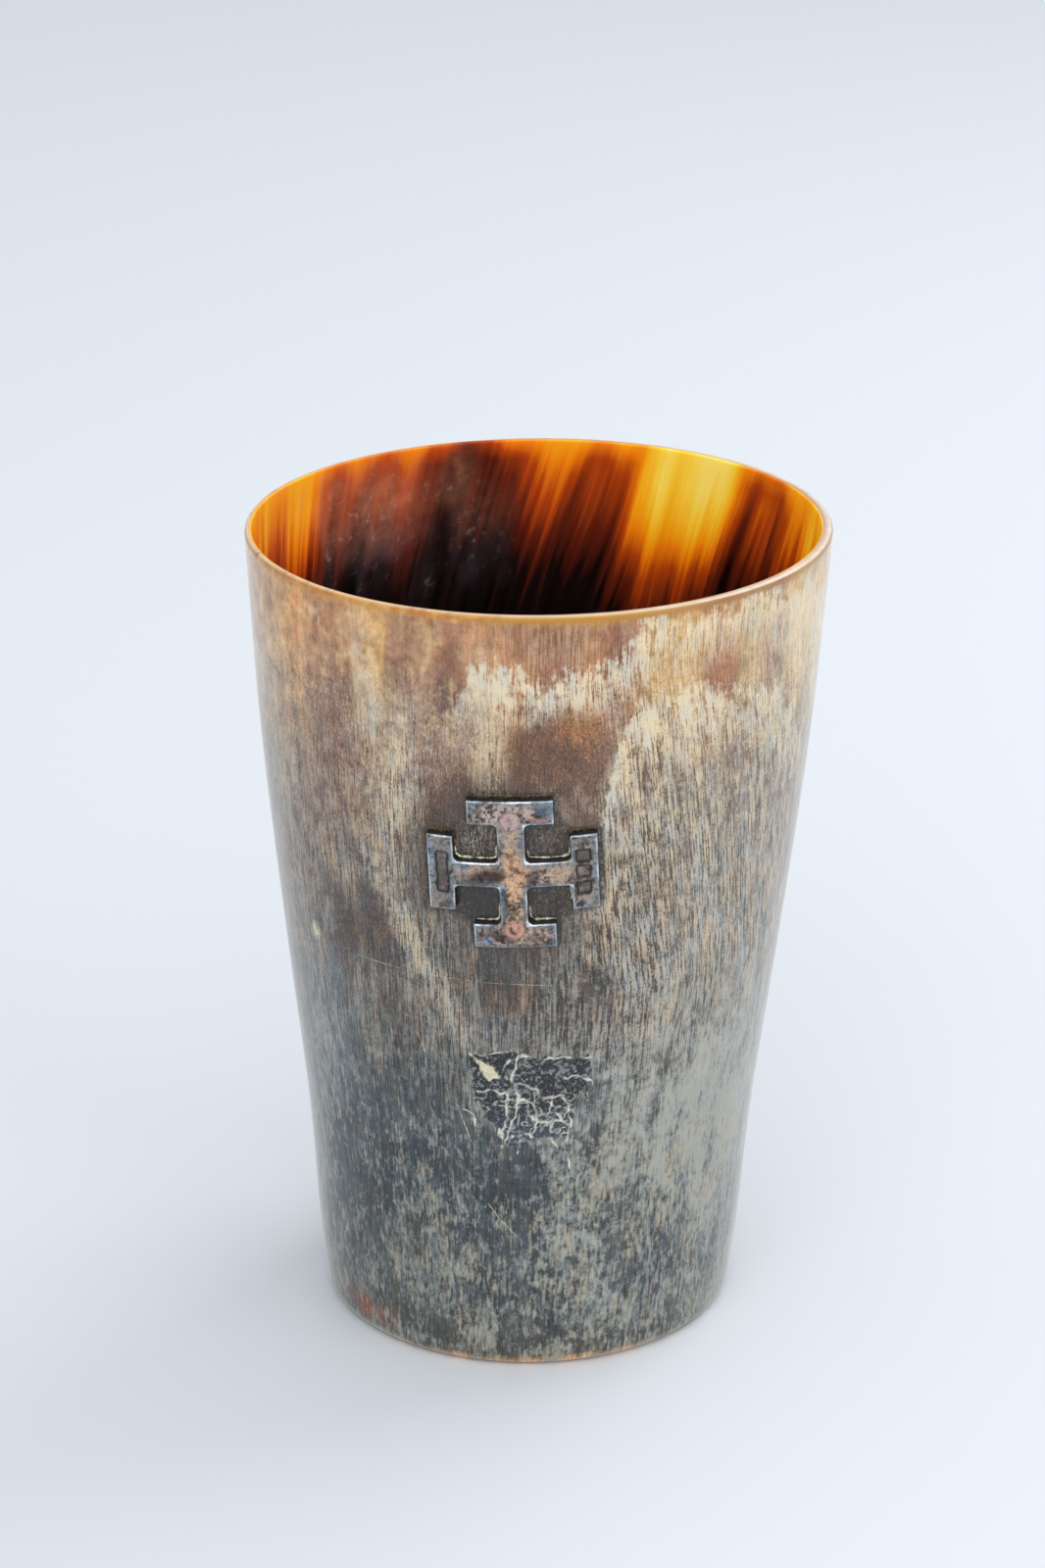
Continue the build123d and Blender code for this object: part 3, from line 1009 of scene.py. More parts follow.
# Each has a width and a length in millimetres, a seed, and sometimes detail and roughness
mist = fibres_in(finish, place, 4.5, 7.0, 5.0, 3.0, 0.75)
shade = fibres_in(finish, place, 3.0, 4.6, 7.0, 3.0, 0.8)
grain = fibres_in(finish, place, 0.8, 1.2, 8.0, 3.0, 0.85)
stripe = fibres_in(finish, place, 1.2, 26.0, 2.0, 2.0, 0.6)
hair = fibres_in(finish, place, 0.21, 4.2, 3.0, 2.0, 0.6)
fine = fibres_in(finish, place, 0.12, 1.8, 4.0)
hue = fibres_in(finish, place, 1.6, 5.0, 21.0, 2.0, 0.7)
speck = fibres_in(finish, place, 0.2, 0.3, 10.0)
chalk = fibres_in(finish, place, 0.17, 0.6, 31.0, 1.0, 0.6)
fleck = fibres_in(finish, place, 0.42, 2.0, 6.0, 1.0, 0.6)
puff = fibres_in(finish, place, 1.7, 2.2, 9.0, 2.0, 0.7)
cloud = fibres_in(finish, place, 2.2, 3.6, 41.0, 2.0, 0.6)

clear_skin = finish.attribute("clear_skin")
upper_half = by_height(32.0, 58.0)
calm = by_height(96.0, 103.0)
calm_skin = finish.times(calm, clear_skin)
off_lip = by_height(109.0, 109.4, 1.0, 0.0)
print("outside finish starts with", len(finish.tree.nodes), "nodes")

# %% [markdown]
# How dry a point is starts from the painted bloom and from the two crests, whose
# edges the noises make ragged. In the upper half the bloom is combed into hairs:
# thin bloom shows as single white fibres, dense bloom as a solid patch. In the
# lower half it breaks up into flecks instead.

# %% Where the outside is dry
haze = finish.attribute("bloom")
for crest_name in ("upper", "lower"):
    crest = finish.attribute(crest_name + "_crest")
    crest = finish.swing(crest, (mist, 5.0), (puff, 3.0), (grain, 1.6), (hair, 0.8))
    hanging = finish.times(finish.spread(crest, -0.8, 1.8), finish.attribute(crest_name + "_fall"))
    haze = finish.math("MAXIMUM", haze, hanging)
comb = finish.swing(0.0, (hair, 1.25), (fine, 0.8), (grain, 0.3), (speck, 0.45))
comb = finish.times(comb, by_height(72.0, 94.0, 1.25, 0.68), finish.between(calm_skin, 1.0, 0.5))
comb = finish.math("MULTIPLY_ADD", comb, finish.between(clear_skin, 1.0, 0.42), 0.5)
striped = finish.times(finish.swing(0.0, (stripe, 0.9)), finish.between(clear_skin, 1.0, 0.3))
cloudiness = finish.swing(0.0, (mist, 1.5), (puff, 1.5), (grain, 0.6))
cloudiness = finish.times(cloudiness, by_height(80.0, 96.0, 1.0, 0.72))
cloudy = finish.plus(cloudiness, 1.0, striped)
clouded = finish.between(finish.times(haze, cloudy), 0.0, 1.0)
combed = finish.spread(comb, 0.2, 0.85, finish.spread(clouded, 0.45, 0.95, 0.02, 0.9), 5.0)
uncombed = finish.math("SUBTRACT", 1.0, clouded)
soft = finish.math("SUBTRACT", 1.0, finish.math("POWER", uncombed, combed))
flecked = finish.swing(haze, (mist, 0.85), (grain, 0.95), (fleck, 0.65), (hair, 0.2))
flecked = finish.spread(flecked, 0.14, 0.78)
chalky = finish.times(
    finish.spread(chalk, 0.62, 0.95, 0.0, by_height(96.0, 104.0, 0.5, 0.36)),
    upper_half,
    finish.between(clear_skin, 0.35, 1.0),
    finish.between(calm, 1.0, 0.2),
)
dryness = finish.plus(finish.between(upper_half, flecked, soft), finish.times(chalky, off_lip))
dry = finish.between(dryness, 0.0, 1.0)
print("with dryness it has", len(finish.tree.nodes), "nodes")

# %% [markdown]
# Under the bloom the ground has fibres of its own, darker and lighter than its
# colour. Each noise has a darkest and a lightest share. They are wider apart low
# down, where the horn is rough, and nearly one on the calm skin below the rim.


# %% Light and dark in the ground
def ends_between(share, first, second):
    """Go from one (darkest, lightest) to another as a share goes from 0 to 1."""
    return [finish.between(share, *ends) for ends in zip(first, second)]


def lit(noise, ends):
    """Darken or lighten by a noise, from its darkest to its lightest."""
    return finish.spread(noise, 0.1, 0.9, *ends)


keen_hair = ends_between(upper_half, (0.4, 1.52), (0.26, 1.75))
rough_hair = ends_between(by_height(82.0, 66.0), (0.7, 1.2), keen_hair)
skin_hair = ends_between(clear_skin, rough_hair, (0.78, 1.2))
skin_grain = ends_between(clear_skin, (0.67, 1.33), (0.54, 1.48))
half_speck = ends_between(upper_half, (0.86, 1.2), (0.58, 1.45))
shading = finish.times(
    lit(shade, ends_between(upper_half, (0.42, 1.5), (0.66, 1.24))),
    finish.between(grain, *ends_between(calm, skin_grain, (0.84, 1.16))),
    lit(stripe, (0.88, 1.12)),
    lit(speck, ends_between(calm, half_speck, (0.9, 1.1))),
    lit(puff, ends_between(clear_skin, (0.88, 1.12), (0.68, 1.3))),
    lit(hair, ends_between(calm, skin_hair, (0.88, 1.1))),
)
shading = finish.math("MULTIPLY_ADD", finish.math("SUBTRACT", shading, 1.0), off_lip, 1.0)
print("with light and dark it has", len(finish.tree.nodes), "nodes")

# %% [markdown]
# Last come the colours. The ground drifts to red and green in small patches, and
# to red-brown, cream and peach in the clear skin. The dry bloom is cream near the
# rim, grey in the middle and colder at the foot. Dirt lies over everything.

# %% Colours of the outside
HORN_IOR = 1.54


def uneven(graph, height, strength, depth):
    """Directions of a surface made uneven by a height, with a depth in millimetres."""
    inputs = {"Strength": strength, "Distance": depth * MM, "Height": height}
    return graph.node("ShaderNodeBump", inputs).outputs[0]


drift_tone = finish.blend(by_height(30.0, 58.0), colour(92, 80, 58), colour(112, 78, 64))
reddish = finish.times(
    finish.spread(hue, 0.55, 0.95, 0.0, 0.55), by_height(112.0, 84.0), by_height(34.0, 58.0, 0.8, 1.0)
)
greenish = finish.times(finish.spread(hue, 0.45, 0.05, 0.0, 0.45), by_height(90.0, 60.0))
ruddy = finish.times(finish.spread(cloud, 0.5, 0.9, 0.0, 0.68), clear_skin)
cream_most = by_height(90.0, 101.0, 0.22, 0.6)
creamy = finish.times(finish.spread(cloud, 0.44, 0.08, 0.0, cream_most), clear_skin)
drifted = finish.attribute("ground", "Color")
for drift_share, tone in (
    (reddish, drift_tone),
    (greenish, colour(66, 82, 82)),
    (ruddy, colour(112, 60, 46)),
    (creamy, colour(226, 196, 134)),
    (finish.times(calm_skin, 0.22), colour(222, 140, 70)),
):
    drifted = finish.blend(drift_share, drifted, tone)
shaded = finish.blend(1.0, drifted, shading, "MULTIPLY")

warm = finish.spread(hue, 0.25, 0.75)
foot_tint = finish.blend(warm, colour(156, 162, 154), colour(168, 161, 143))
middle_tint = finish.blend(warm, colour(178, 178, 172), colour(204, 182, 150))
upper_tint = finish.blend(warm, colour(210, 204, 186), colour(232, 212, 172))
dry_tint = finish.blend(by_height(28.0, 42.0), foot_tint, colour(160, 164, 158))
dry_tint = finish.blend(by_height(36.0, 62.0), dry_tint, middle_tint)
dry_tint = finish.blend(by_height(64.0, 96.0), dry_tint, upper_tint)
weathered = finish.blend(dry, shaded, dry_tint)

dirt = finish.swing(finish.attribute("grime"), (mist, 0.3), (grain, 0.5), (puff, 0.3))
crumbly = finish.swing(0.5, (speck, 0.8), (chalk, 0.6), (fleck, 0.4))
dirt_share = finish.times(finish.spread(dirt, 0.1, 0.85), finish.spread(crumbly, 0.3, 0.9, 1.0, 0.5))
finish.fill(
    shader,
    {
        "Base Color": finish.blend(dirt_share, weathered, colour(38, 31, 24)),
        "Roughness": finish.between(dry, 0.3, 0.45),
        "Normal": uneven(finish, dryness, 0.4, 0.06),
        "IOR": HORN_IOR,
        "Sheen Weight": 0.8,
        "Sheen Roughness": 0.28,
    },
)
print("outside finish has", len(finish.tree.nodes), "nodes")

# %% [markdown]
# In the bore the painted glow picks a colour from a ramp, after long streaks have
# swung it a little. Light gets under the skin of clear horn, so some of it is
# scattered below the surface, and a little glow stands for what shines through
# the wall. Dust greys it on the left.

# %% The amber bore
AMBER_STEPS = [
    (0.0, (3, 1, 1)),
    (0.16, (18, 4, 3)),
    (0.32, (98, 30, 10)),
    (0.48, (180, 70, 8)),
    (0.62, (232, 134, 8)),
    (0.76, (250, 184, 24)),
    (0.9, (255, 216, 66)),
    (1.0, (255, 228, 110)),
]


def ramp(graph, value, steps):
    """Turn a value into a colour by steps of (value, colour)."""
    made = graph.node("ShaderNodeValToRGB", {"Fac": value})
    stops = made.color_ramp.elements
    while len(stops) < len(steps):
        stops.new(0.5)
    for stop, (where, rgb) in zip(stops, steps):
        stop.position = where
        stop.color = colour(*rgb)
    return made.outputs[0]


finish, shader = open_finish(horn_bore)
place = finish.attribute("fibre", "Vector")
bore_height = finish.node("ShaderNodeSeparateXYZ", {0: place}).outputs[2]
broad_streak = fibres_in(finish, place, 2.6, 40.0, 11.0)
middle_streak = fibres_in(finish, place, 0.9, 24.0, 12.0)
fine_streak = fibres_in(finish, place, 0.3, 16.0, 13.0)
dust_specks = fibres_in(finish, place, 1.2, 1.3, 14.0, 2.0, 0.6)
dust_haze = fibres_in(finish, place, 3.5, 4.5, 15.0, 3.0, 0.7)
streaks = finish.swing(0.0, (broad_streak, 0.26), (middle_streak, 0.14), (fine_streak, 0.04))
streaks = finish.times(streaks, finish.between(finish.attribute("tongue"), 0.3, 1.0))
amber = ramp(finish, finish.plus(finish.attribute("glow"), streaks), AMBER_STEPS)
dusty = finish.attribute("dust")
haze_share = finish.times(dusty, finish.spread(dust_haze, 0.2, 0.8, 0.35, 0.95))
near_rim = finish.spread(bore_height, 94.0, 103.0)
haze_tint = finish.blend(near_rim, colour(86, 80, 88), colour(192, 130, 100))
hazed = finish.blend(haze_share, amber, haze_tint)
speck_share = finish.times(finish.spread(dust_specks, 0.68, 1.0, 0.0, 0.75), dusty)
finish.fill(
    shader,
    {
        "Base Color": finish.blend(speck_share, hazed, colour(176, 160, 150)),
        "Roughness": finish.between(middle_streak, 0.26, 0.4),
        "Emission Color": amber,
        "Emission Strength": 0.2,
        "IOR": HORN_IOR,
        "Specular IOR Level": 0.3,
        "Subsurface Weight": 0.6,
        "Subsurface Radius": (1.0, 0.4, 0.08),
        "Subsurface Scale": 0.003,
    },
)
print("bore finish has", len(finish.tree.nodes), "nodes")

# %% Show the wall
add_piece("horn_wall_skin", wall, "horn", "horn_wall")
print("wall triangles:", sum(len(face.vertices) - 2 for face in wall.polygons))

# %% [markdown]
# The floor of the cup is a disc of horn with a bevelled edge, turned on a lathe
# and sprung into the groove. A disc is turned like the wall, so the same tree
# makes it, with no lean and no oval. The lathe leaves fine rings, which are cut
# into the section a few hundredths of a millimetre deep.

# %% Turn the floor
disc_low, disc_high = (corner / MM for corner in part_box("base_disc"))
disc_middle = (disc_low + disc_high) / 2
disc_radius = (disc_high.x - disc_low.x) / 2
NOSE = 1.0
BEVEL = 2.4
HOLLOW = 20.0
HOLLOW_DEPTH = 0.5
STRAIGHT = {"Lean": 0.0, "Rim Oval": 0.0, "Bore Shift": 0.0}

rings = np.linspace(0, disc_radius - BEVEL, 84)
top_line = disc_high.z - HOLLOW_DEPTH * np.clip(1 - (rings / HOLLOW) ** 2, 0, 1)
top_line -= 0.03 * (1 + np.sin(rings * 2 * pi / 1.3)) / 2 * ease(24, 22, rings)
under_line = np.full(len(rings), disc_low.z) + 0.02 * (1 + np.sin(rings * 2 * pi / 1.9)) / 2
disc_section = [(radius, 0.0, level) for radius, level in zip(rings, under_line)]
disc_section += [(disc_radius - 0.02, 0.0, disc_middle.z + half) for half in (-NOSE / 2, NOSE / 2)]
disc_section += [(radius, 0.0, level) for radius, level in zip(rings[::-1], top_line[::-1])]
horn_floor = bpy.data.materials.new("turned horn floor")
disc = bake_tree(
    "base_disc_skin",
    mesh_of("disc_section", disc_section),
    turning,
    {**STRAIGHT, "Steps Round": 160, "Outside": horn_floor, "Bore": horn_floor},
)
disc.transform(Matrix.Translation((disc_middle.x * MM, disc_middle.y * MM, 0)))
print("floor is", round(2 * disc_radius, 1), "mm across with", len(disc.polygons), "faces")

# %% The floor's finish
FLOOR_STEPS = [(0.32, (30, 16, 12)), (0.72, (112, 62, 26))]


def crumbs_in(graph, scale, detail, roughness=0.5, distortion=0.0):
    """Place plain noise in a finish, with a scale in cells a millimetre."""
    spot = graph.vector("SCALE", graph.node("ShaderNodeTexCoord").outputs["Object"])
    spot.node.inputs["Scale"].default_value = 1 / MM
    sizes = {"Scale": scale, "Detail": detail, "Roughness": roughness, "Distortion": distortion}
    return graph.node("ShaderNodeTexNoise", {"Vector": spot, **sizes}).outputs[0]


finish, shader = open_finish(horn_floor)
floor_clouds = crumbs_in(finish, 0.22, 5.0, distortion=1.2)
floor_specks = crumbs_in(finish, 1.6, 3.0)
dusted = finish.spread(floor_specks, 0.6, 0.75, 0.0, 0.45)
floor_tone = finish.blend(dusted, ramp(finish, floor_clouds, FLOOR_STEPS), colour(128, 112, 96))
floor_rough = finish.spread(floor_specks, 0.3, 0.7, 0.36, 0.6)
finish.fill(shader, {"Base Color": floor_tone, "Roughness": floor_rough, "IOR": HORN_IOR})
add_piece("base_disc_skin", disc, "horn", "base_disc")
print("floor finish has", len(finish.tree.nodes), "nodes")

# %% [markdown]
# The cross is silver, sawn from sheet, filed along its edges, bent to the wall
# and worn for a century. Its CAD solid has the right outline and bend, so a copy
# of it is given an even skin of small faces with a voxel remesh. That softens
# the edges as wear does, and leaves enough points to sink pits and to paint on.


# %% A fine skin for the cross
def normals_of(mesh):
    """The directions that the points of a mesh face."""
    flat = np.empty(len(mesh.vertices) * 3)
    mesh.vertex_normals.foreach_get("vector", flat)
    return flat.reshape(-1, 3)


def remesh(name, node, voxel):
    """Copy a CAD node and give it an even skin of small faces."""
    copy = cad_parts[node].data.copy()
    shell = bmesh.new()
    shell.from_mesh(copy)
    bmesh.ops.remove_doubles(shell, verts=shell.verts, dist=0.000002)
    shell.to_mesh(copy)
    shell.free()
    holder = into_scene(name + "_holder", copy)
    skin = holder.modifiers.new("skin", "REMESH")
    skin.mode = "VOXEL"
    skin.voxel_size = voxel * MM
    skin.use_smooth_shade = True
    made = bake(holder, name)
    made.materials.clear()
    return made


cross = remesh("cross_badge_skin", "cross_badge", 0.11)
print("cross has", len(cross.vertices), "points")

# %% [markdown]
# Everything on the cross is placed by two numbers, right and up from its middle
# in millimetres. The distance to its outline is worked out from six boxes, and
# tells how near to a worn edge a point is. Two shallow rows of plain punched
# recesses in the side bars are pressed in, and random pits, all inwards.

# %% Recesses, pits and worn edges of the cross
badge_spots = points_of(cross) - badge_middle
across = badge_spots @ badge_right
along = badge_spots @ badge_up
facing = normals_of(cross) @ badge_out
badge_flat = np.stack([across, along, np.zeros(len(across))], axis=1)

RECESSES = [
    # middle right, middle up, half width, half height
    (-8.95, 0.1, 0.75, 2.9),
    (8.95, 2.35, 0.9, 0.85),
    (8.95, 0.05, 0.9, 0.85),
    (8.95, -2.3, 0.9, 0.85),
]
RECESS_DEPTH = 0.2
PIT_DEPTH = 0.07
DENT_DEPTH = 0.05


def badge_lattice(cell, seed):
    """Soft random values over the cross."""
    return lattice(badge_flat, (cell, cell, 1), seed)


in_front = ease(0.35, 0.8, facing)
edge_distance = -cross_distance(across, along)
recess = np.zeros(len(across))
recess_rim = np.zeros(len(across))
for middle_right, middle_up, half_wide, half_tall in RECESSES:
    core = box_distance(across, along, middle_right, middle_up, half_wide - 0.3, half_tall - 0.3)
    core = core + 0.1 * badge_lattice(0.6, 31)
    recess = np.maximum(recess, ease(0.4, 0.18, core))
    recess_rim = np.maximum(recess_rim, np.exp(-(((core - 0.26) / 0.17) ** 2)))
pits = ease(0.34, 0.62, badge_lattice(0.45, 33)) * ease(-0.2, 0.5, badge_lattice(2.6, 34))
dents = (1 + badge_lattice(2.2, 35)) / 2
sink = in_front * (RECESS_DEPTH * recess + PIT_DEPTH * pits + DENT_DEPTH * dents)
sunk = points_of(cross) - sink[:, None] * badge_out
cross.vertices.foreach_set("co", (sunk * MM).ravel())
cross.update()
print("deepest recess", sink.max().round(3), "mm")

# %% [markdown]
# Old silver is never one colour. Handling keeps the edges bright, the middle has
# gone coppery and gold, the bars blue-grey, and dirt lies in the pits. These are
# patches of colour again, painted on the points and mixed with soft noise.

# %% Paint the tarnish
TARNISH = [
    # right, up, half width, half height, colour, strength
    (0.2, 8.2, 4.6, 1.8, (192, 172, 162), 0.8),
    (0.0, 4.6, 1.7, 2.4, (178, 154, 134), 0.75),
    (0.3, 0.2, 2.6, 2.6, (214, 168, 132), 0.85),
    (0.3, -3.6, 1.4, 3.2, (214, 174, 136), 0.85),
    (0.0, -8.6, 4.4, 1.5, (192, 164, 146), 0.8),
    (-4.8, 0.9, 2.4, 0.8, (202, 162, 128), 0.75),
    (4.9, 0.0, 2.6, 1.6, (184, 160, 140), 0.8),
    (-9.1, 0.0, 1.6, 5.0, (126, 128, 128), 0.75),
    (9.1, 0.0, 1.6, 5.0, (152, 142, 134), 0.7),
    (3.9, 7.6, 1.3, 0.7, (176, 98, 66), 0.8),
    (4.2, 9.2, 1.1, 0.9, (66, 92, 104), 0.85),
    (-3.6, -0.4, 2.2, 0.9, (54, 46, 48), 0.85),
    (-1.9, 0.1, 1.0, 0.9, (62, 50, 48), 0.75),
    (2.4, -0.3, 0.9, 1.1, (62, 60, 66), 0.75),
    (-1.2, -4.4, 0.45, 2.0, (56, 44, 40), 0.75),
    (-2.4, -8.6, 1.5, 0.9, (58, 52, 54), 0.75),
    (2.2, -9.0, 1.2, 0.6, (70, 64, 66), 0.6),
    (-1.4, -2.1, 0.55, 0.85, (146, 164, 192), 0.95),
    (-3.6, -9.3, 0.9, 0.45, (146, 164, 192), 0.85),
    (-10.3, 2.4, 0.35, 2.2, (150, 168, 192), 0.8),
    (-6.3, 1.0, 0.6, 0.7, (150, 150, 170), 0.7),
    (-0.2, -6.0, 0.5, 0.5, (60, 44, 38), 0.7),
    (1.2, -4.0, 0.4, 0.6, (66, 48, 40), 0.7),
]

blur = 0.5 * badge_lattice(1.1, 41) + 0.3 * badge_lattice(0.45, 42)
metal_grain = 0.6 * badge_lattice(0.3, 43) + 0.4 * badge_lattice(0.16, 44)
tarnish = np.tile(linear((150, 138, 126)), (len(across), 1))
for right, up, wide, tall, rgb, strength in TARNISH:
    distance = np.hypot((across - right) / wide, (along - up) / tall)
    tarnish = tint(tarnish, rgb, strength * ease(1.5, 0.6, distance + 0.7 * blur))
blotch = ease(0.2, 0.6, badge_lattice(1.5, 45) + 0.6 * badge_lattice(0.5, 46))
tarnish = tint(tarnish, (66, 58, 58), 0.65 * blotch)
peppered = ease(-0.1, 0.5, badge_lattice(2.0, 49)) * ease(0.1, 0.4, badge_lattice(0.32, 50))
tarnish = tint(tarnish, (44, 40, 42), 0.8 * peppered)
blue = ease(1.1, 0.2, edge_distance + 0.6 * blur) * np.clip(0.6 + 0.9 * badge_lattice(2.4, 47), 0, 1)
tarnish = tint(tarnish, (118, 132, 142), 0.75 * blue)
metal_dirt = 0.85 * ease(0.42, 0.75, metal_grain + 0.5 * blur) * ease(2.2, 0.8, np.abs(edge_distance - 1.4))
metal_dirt = np.clip(1.2 * pits + metal_dirt, 0, 1)
tarnish = tint(tarnish, (40, 34, 33), 0.85 * metal_dirt)
tarnish = tint(tarnish, (92, 80, 74), recess * (0.7 + 0.3 * blur))
tarnish = tint(tarnish, (22, 20, 22), 0.95 * recess_rim)
worn = np.clip(0.7 + 0.8 * badge_lattice(1.8, 48), 0.15, 1)
bright = worn * ease(0.3, 0.1, edge_distance + 0.08 * blur) * ease(0.2, 0.75, facing) * (1 - recess)
tarnish = tint(tarnish, (212, 220, 230), 0.9 * bright)
tarnish *= (1 + 0.32 * metal_grain)[:, None]
flank = 1 - ease(0.1, 0.5, facing)
tarnish = tint(tarnish, (30, 32, 36), 0.9 * flank)
clean = (1 - metal_dirt) * (1 - flank) * (1 - recess)
paint(cross, "tarnish", np.clip(tarnish, 0, 1), "FLOAT_COLOR")
paint(cross, "bare", np.clip(0.6 * bright + 0.35 * clean, 0, 1))
print("tarnish patches:", len(TARNISH))

# %% [markdown]
# Bare silver mirrors like a metal, and a crust of tarnish is dull. The painted
# share of bare metal sets both, so one finish runs from a bright worn edge to a
# dark crusted corner. A fine speckle keeps the mirrored light from being even.

# %% The silver's finish
old_silver = bpy.data.materials.new("tarnished silver")
finish, shader = open_finish(old_silver)
bare = finish.attribute("bare")
silver_speckle = crumbs_in(finish, 5.0, 4.0, 0.65)
silver_crust = crumbs_in(finish, 1.7, 5.0, 0.75)
patchy = finish.spread(silver_speckle, 0.3, 0.7, 0.7, 1.5)
painted = finish.blend(1.0, finish.attribute("tarnish", "Color"), patchy, "MULTIPLY")
crusted = finish.spread(silver_crust, 0.56, 0.62, 0.0, 0.8)
crusted = finish.times(crusted, finish.spread(bare, 0.4, 0.7, 1.0, 0.0))
finish.fill(
    shader,
    {
        "Base Color": finish.blend(crusted, painted, colour(40, 37, 38)),
        "Metallic": finish.spread(bare, 0.0, 0.6, 0.45, 1.0),
        "Roughness": finish.math("MULTIPLY_ADD", silver_speckle, 0.25, finish.between(bare, 0.34, 0.1)),
        "Normal": uneven(finish, silver_speckle, 0.35, 0.04),
    },
)
cross.materials.append(old_silver)
add_piece("cross_badge_skin", cross, "silver", "cross_badge")
print("silver finish has", len(finish.tree.nodes), "nodes")

# %% [markdown]
# Two silver rivets hold the cross. Each has a countersunk head filed flush with
# the metal, a shank through the wall and a domed tail peened inside the cup. The
# turning tree makes one rivet, and a second tree sets it on two points, turned
# to the cross, as it would set any number of them.

# %% Turn one rivet
WALL_BEHIND = 1.505
RIVET_SECTION = [
    # radius, level from the outside of the wall
    (0.0, -WALL_BEHIND - 0.78),
    (0.5, -WALL_BEHIND - 0.74),
    (1.0, -WALL_BEHIND - 0.58),
    (1.35, -WALL_BEHIND - 0.32),
    (1.53, -WALL_BEHIND - 0.02),
    (1.53, -WALL_BEHIND + 0.08),
    (0.78, -WALL_BEHIND + 0.08),
    (0.78, 0.0),
    (1.3, 1.06),
    (1.36, 1.12),
    (1.3, 1.155),
    (0.95, 1.17),
    (0.5, 1.178),
    (0.0, 1.18),
]
rivet_mesh = bake_tree(
    "rivet_form",
    mesh_of("rivet_section", [(radius, 0.0, level) for radius, level in RIVET_SECTION]),
    turning,
    {**STRAIGHT, "Steps Round": 40, "Outside": old_silver, "Bore": old_silver},
)
rivet_form = bpy.data.objects.new("rivet_form", rivet_mesh)
print("one rivet has", len(rivet_mesh.polygons), "faces")

# %% Geometry Nodes tree that sets the rivets
setting, given, result = new_tree(
    "set rivets",
    "GeometryNodeTree",
    [
        ("Places", "INPUT", "Geometry", None),
        ("Rivet", "INPUT", "Object", None),
        ("Turned To", "INPUT", "Vector", None),
        ("Silver", "INPUT", "Material", None),
        ("Rivets", "OUTPUT", "Geometry", None),
    ],
)
form = setting.node("GeometryNodeObjectInfo", {"Object": given["Rivet"]}).outputs["Geometry"]
aim = setting.node("FunctionNodeAlignRotationToVector", {"Vector": given["Turned To"]}, axis="Z")
twist = setting.node(
    "FunctionNodeRandomValue", {"Max": (0.0, 0.0, 6.28), "Seed": 4}, data_type="FLOAT_VECTOR"
).outputs[0]
spun = setting.node("FunctionNodeRotateRotation", {"Rotation": aim.outputs[0]}, rotation_space="LOCAL")
setting.set(spun.inputs["Rotate By"], twist)
placed = setting.node(
    "GeometryNodeInstanceOnPoints", {"Points": given["Places"], "Instance": form, "Rotation": spun.outputs[0]}
)
real = setting.shape("RealizeInstances", placed.outputs[0])
silvered = setting.shape("SetMaterial", real, {"Material": given["Silver"]})
setting.set(result["Rivets"], silvered)

RIVET_SPACING = 15.4
rivet_places = [badge_middle + way * RIVET_SPACING / 2 * badge_up for way in (1, -1)]
rivets = bake_tree(
    "badge_rivets_skin",
    mesh_of("rivet_places", rivet_places),
    setting,
    {"Rivet": rivet_form, "Turned To": tuple(badge_out), "Silver": old_silver},
)
bpy.data.objects.remove(rivet_form)
print("rivets:", len(rivets.polygons), "faces")

# %% Paint and show the rivets
rivet_spots = points_of(rivets) - badge_middle
rivet_across, rivet_along = rivet_spots @ badge_right, rivet_spots @ badge_up
rivet_flat = np.stack([rivet_across, rivet_along, np.zeros(len(rivet_spots))], axis=1)
upper = rivet_along > 0
from_middle = np.hypot(rivet_across, np.abs(rivet_along) - RIVET_SPACING / 2)
rivet_paint = np.tile(linear((186, 160, 154)), (len(upper), 1))
rivet_paint = tint(rivet_paint, (200, 152, 132), (~upper).astype(float))
rivet_dirt = ease(-0.2, 0.3, lattice(rivet_flat, (0.5, 0.5, 1), 51)) * np.where(upper, 0.2, 0.95)
rivet_paint = tint(rivet_paint, (54, 42, 40), rivet_dirt * ease(1.1, 0.5, from_middle))
rivet_paint = tint(rivet_paint, (110, 92, 86), 0.4 * ease(1.1, 1.3, from_middle))
paint(rivets, "tarnish", rivet_paint, "FLOAT_COLOR")
paint(rivets, "bare", np.full(len(upper), 0.35))
add_piece("badge_rivets_skin", rivets, "silver", "badge_rivet_upper", "badge_rivet_lower")
print("rivets set at", [place.round(1).tolist() for place in rivet_places])

# %% [markdown]
# Small things lie on the wall: a dried film, lines of old polish, scratches.
# Each has to sit on the finished wall with its flats and fibres, not on the
# plain CAD one, so rays are sent once more, this time at the mesh made here.

# %% Find points on the finished wall
skin_tree = BVHTree.FromPolygons(
    [Vector(spot) for spot in points_of(wall)], [tuple(face.vertices) for face in wall.polygons]
)


def on_wall(degrees, height, lift=0.0):
    """Point of the wall at degrees from the front and a height, lifted outwards."""
    way = Vector((sin(radians(degrees)), -cos(radians(degrees)), 0))
    hit = skin_tree.ray_cast(Vector((centre_x(height), 0, height)) + way * 60, -way)[0]
    return hit + way * lift


def by_cross(right, up, lift=0.0):
    """Point of the wall behind a place given from the middle of the cross."""
    start = Vector(badge_middle + right * badge_right + up * badge_up + 8 * badge_out)
    return skin_tree.ray_cast(start, Vector(-badge_out))[0] + lift * Vector(badge_out)


print("wall behind the cross:", [round(value, 2) for value in by_cross(0, 0)])

# %% [markdown]
# Below the cross a patch of old glue has dried to a dark film and shrunk into
# pale ridges, with one flake of paper on it. It could be a bump in the wall's
# finish, but it has real thickness and torn edges. So it is a fine grid laid on
# the wall: the outline lifts it, the ridges lift it more, and past the outline
# it dives into the horn. Places are (degrees from the front, height).

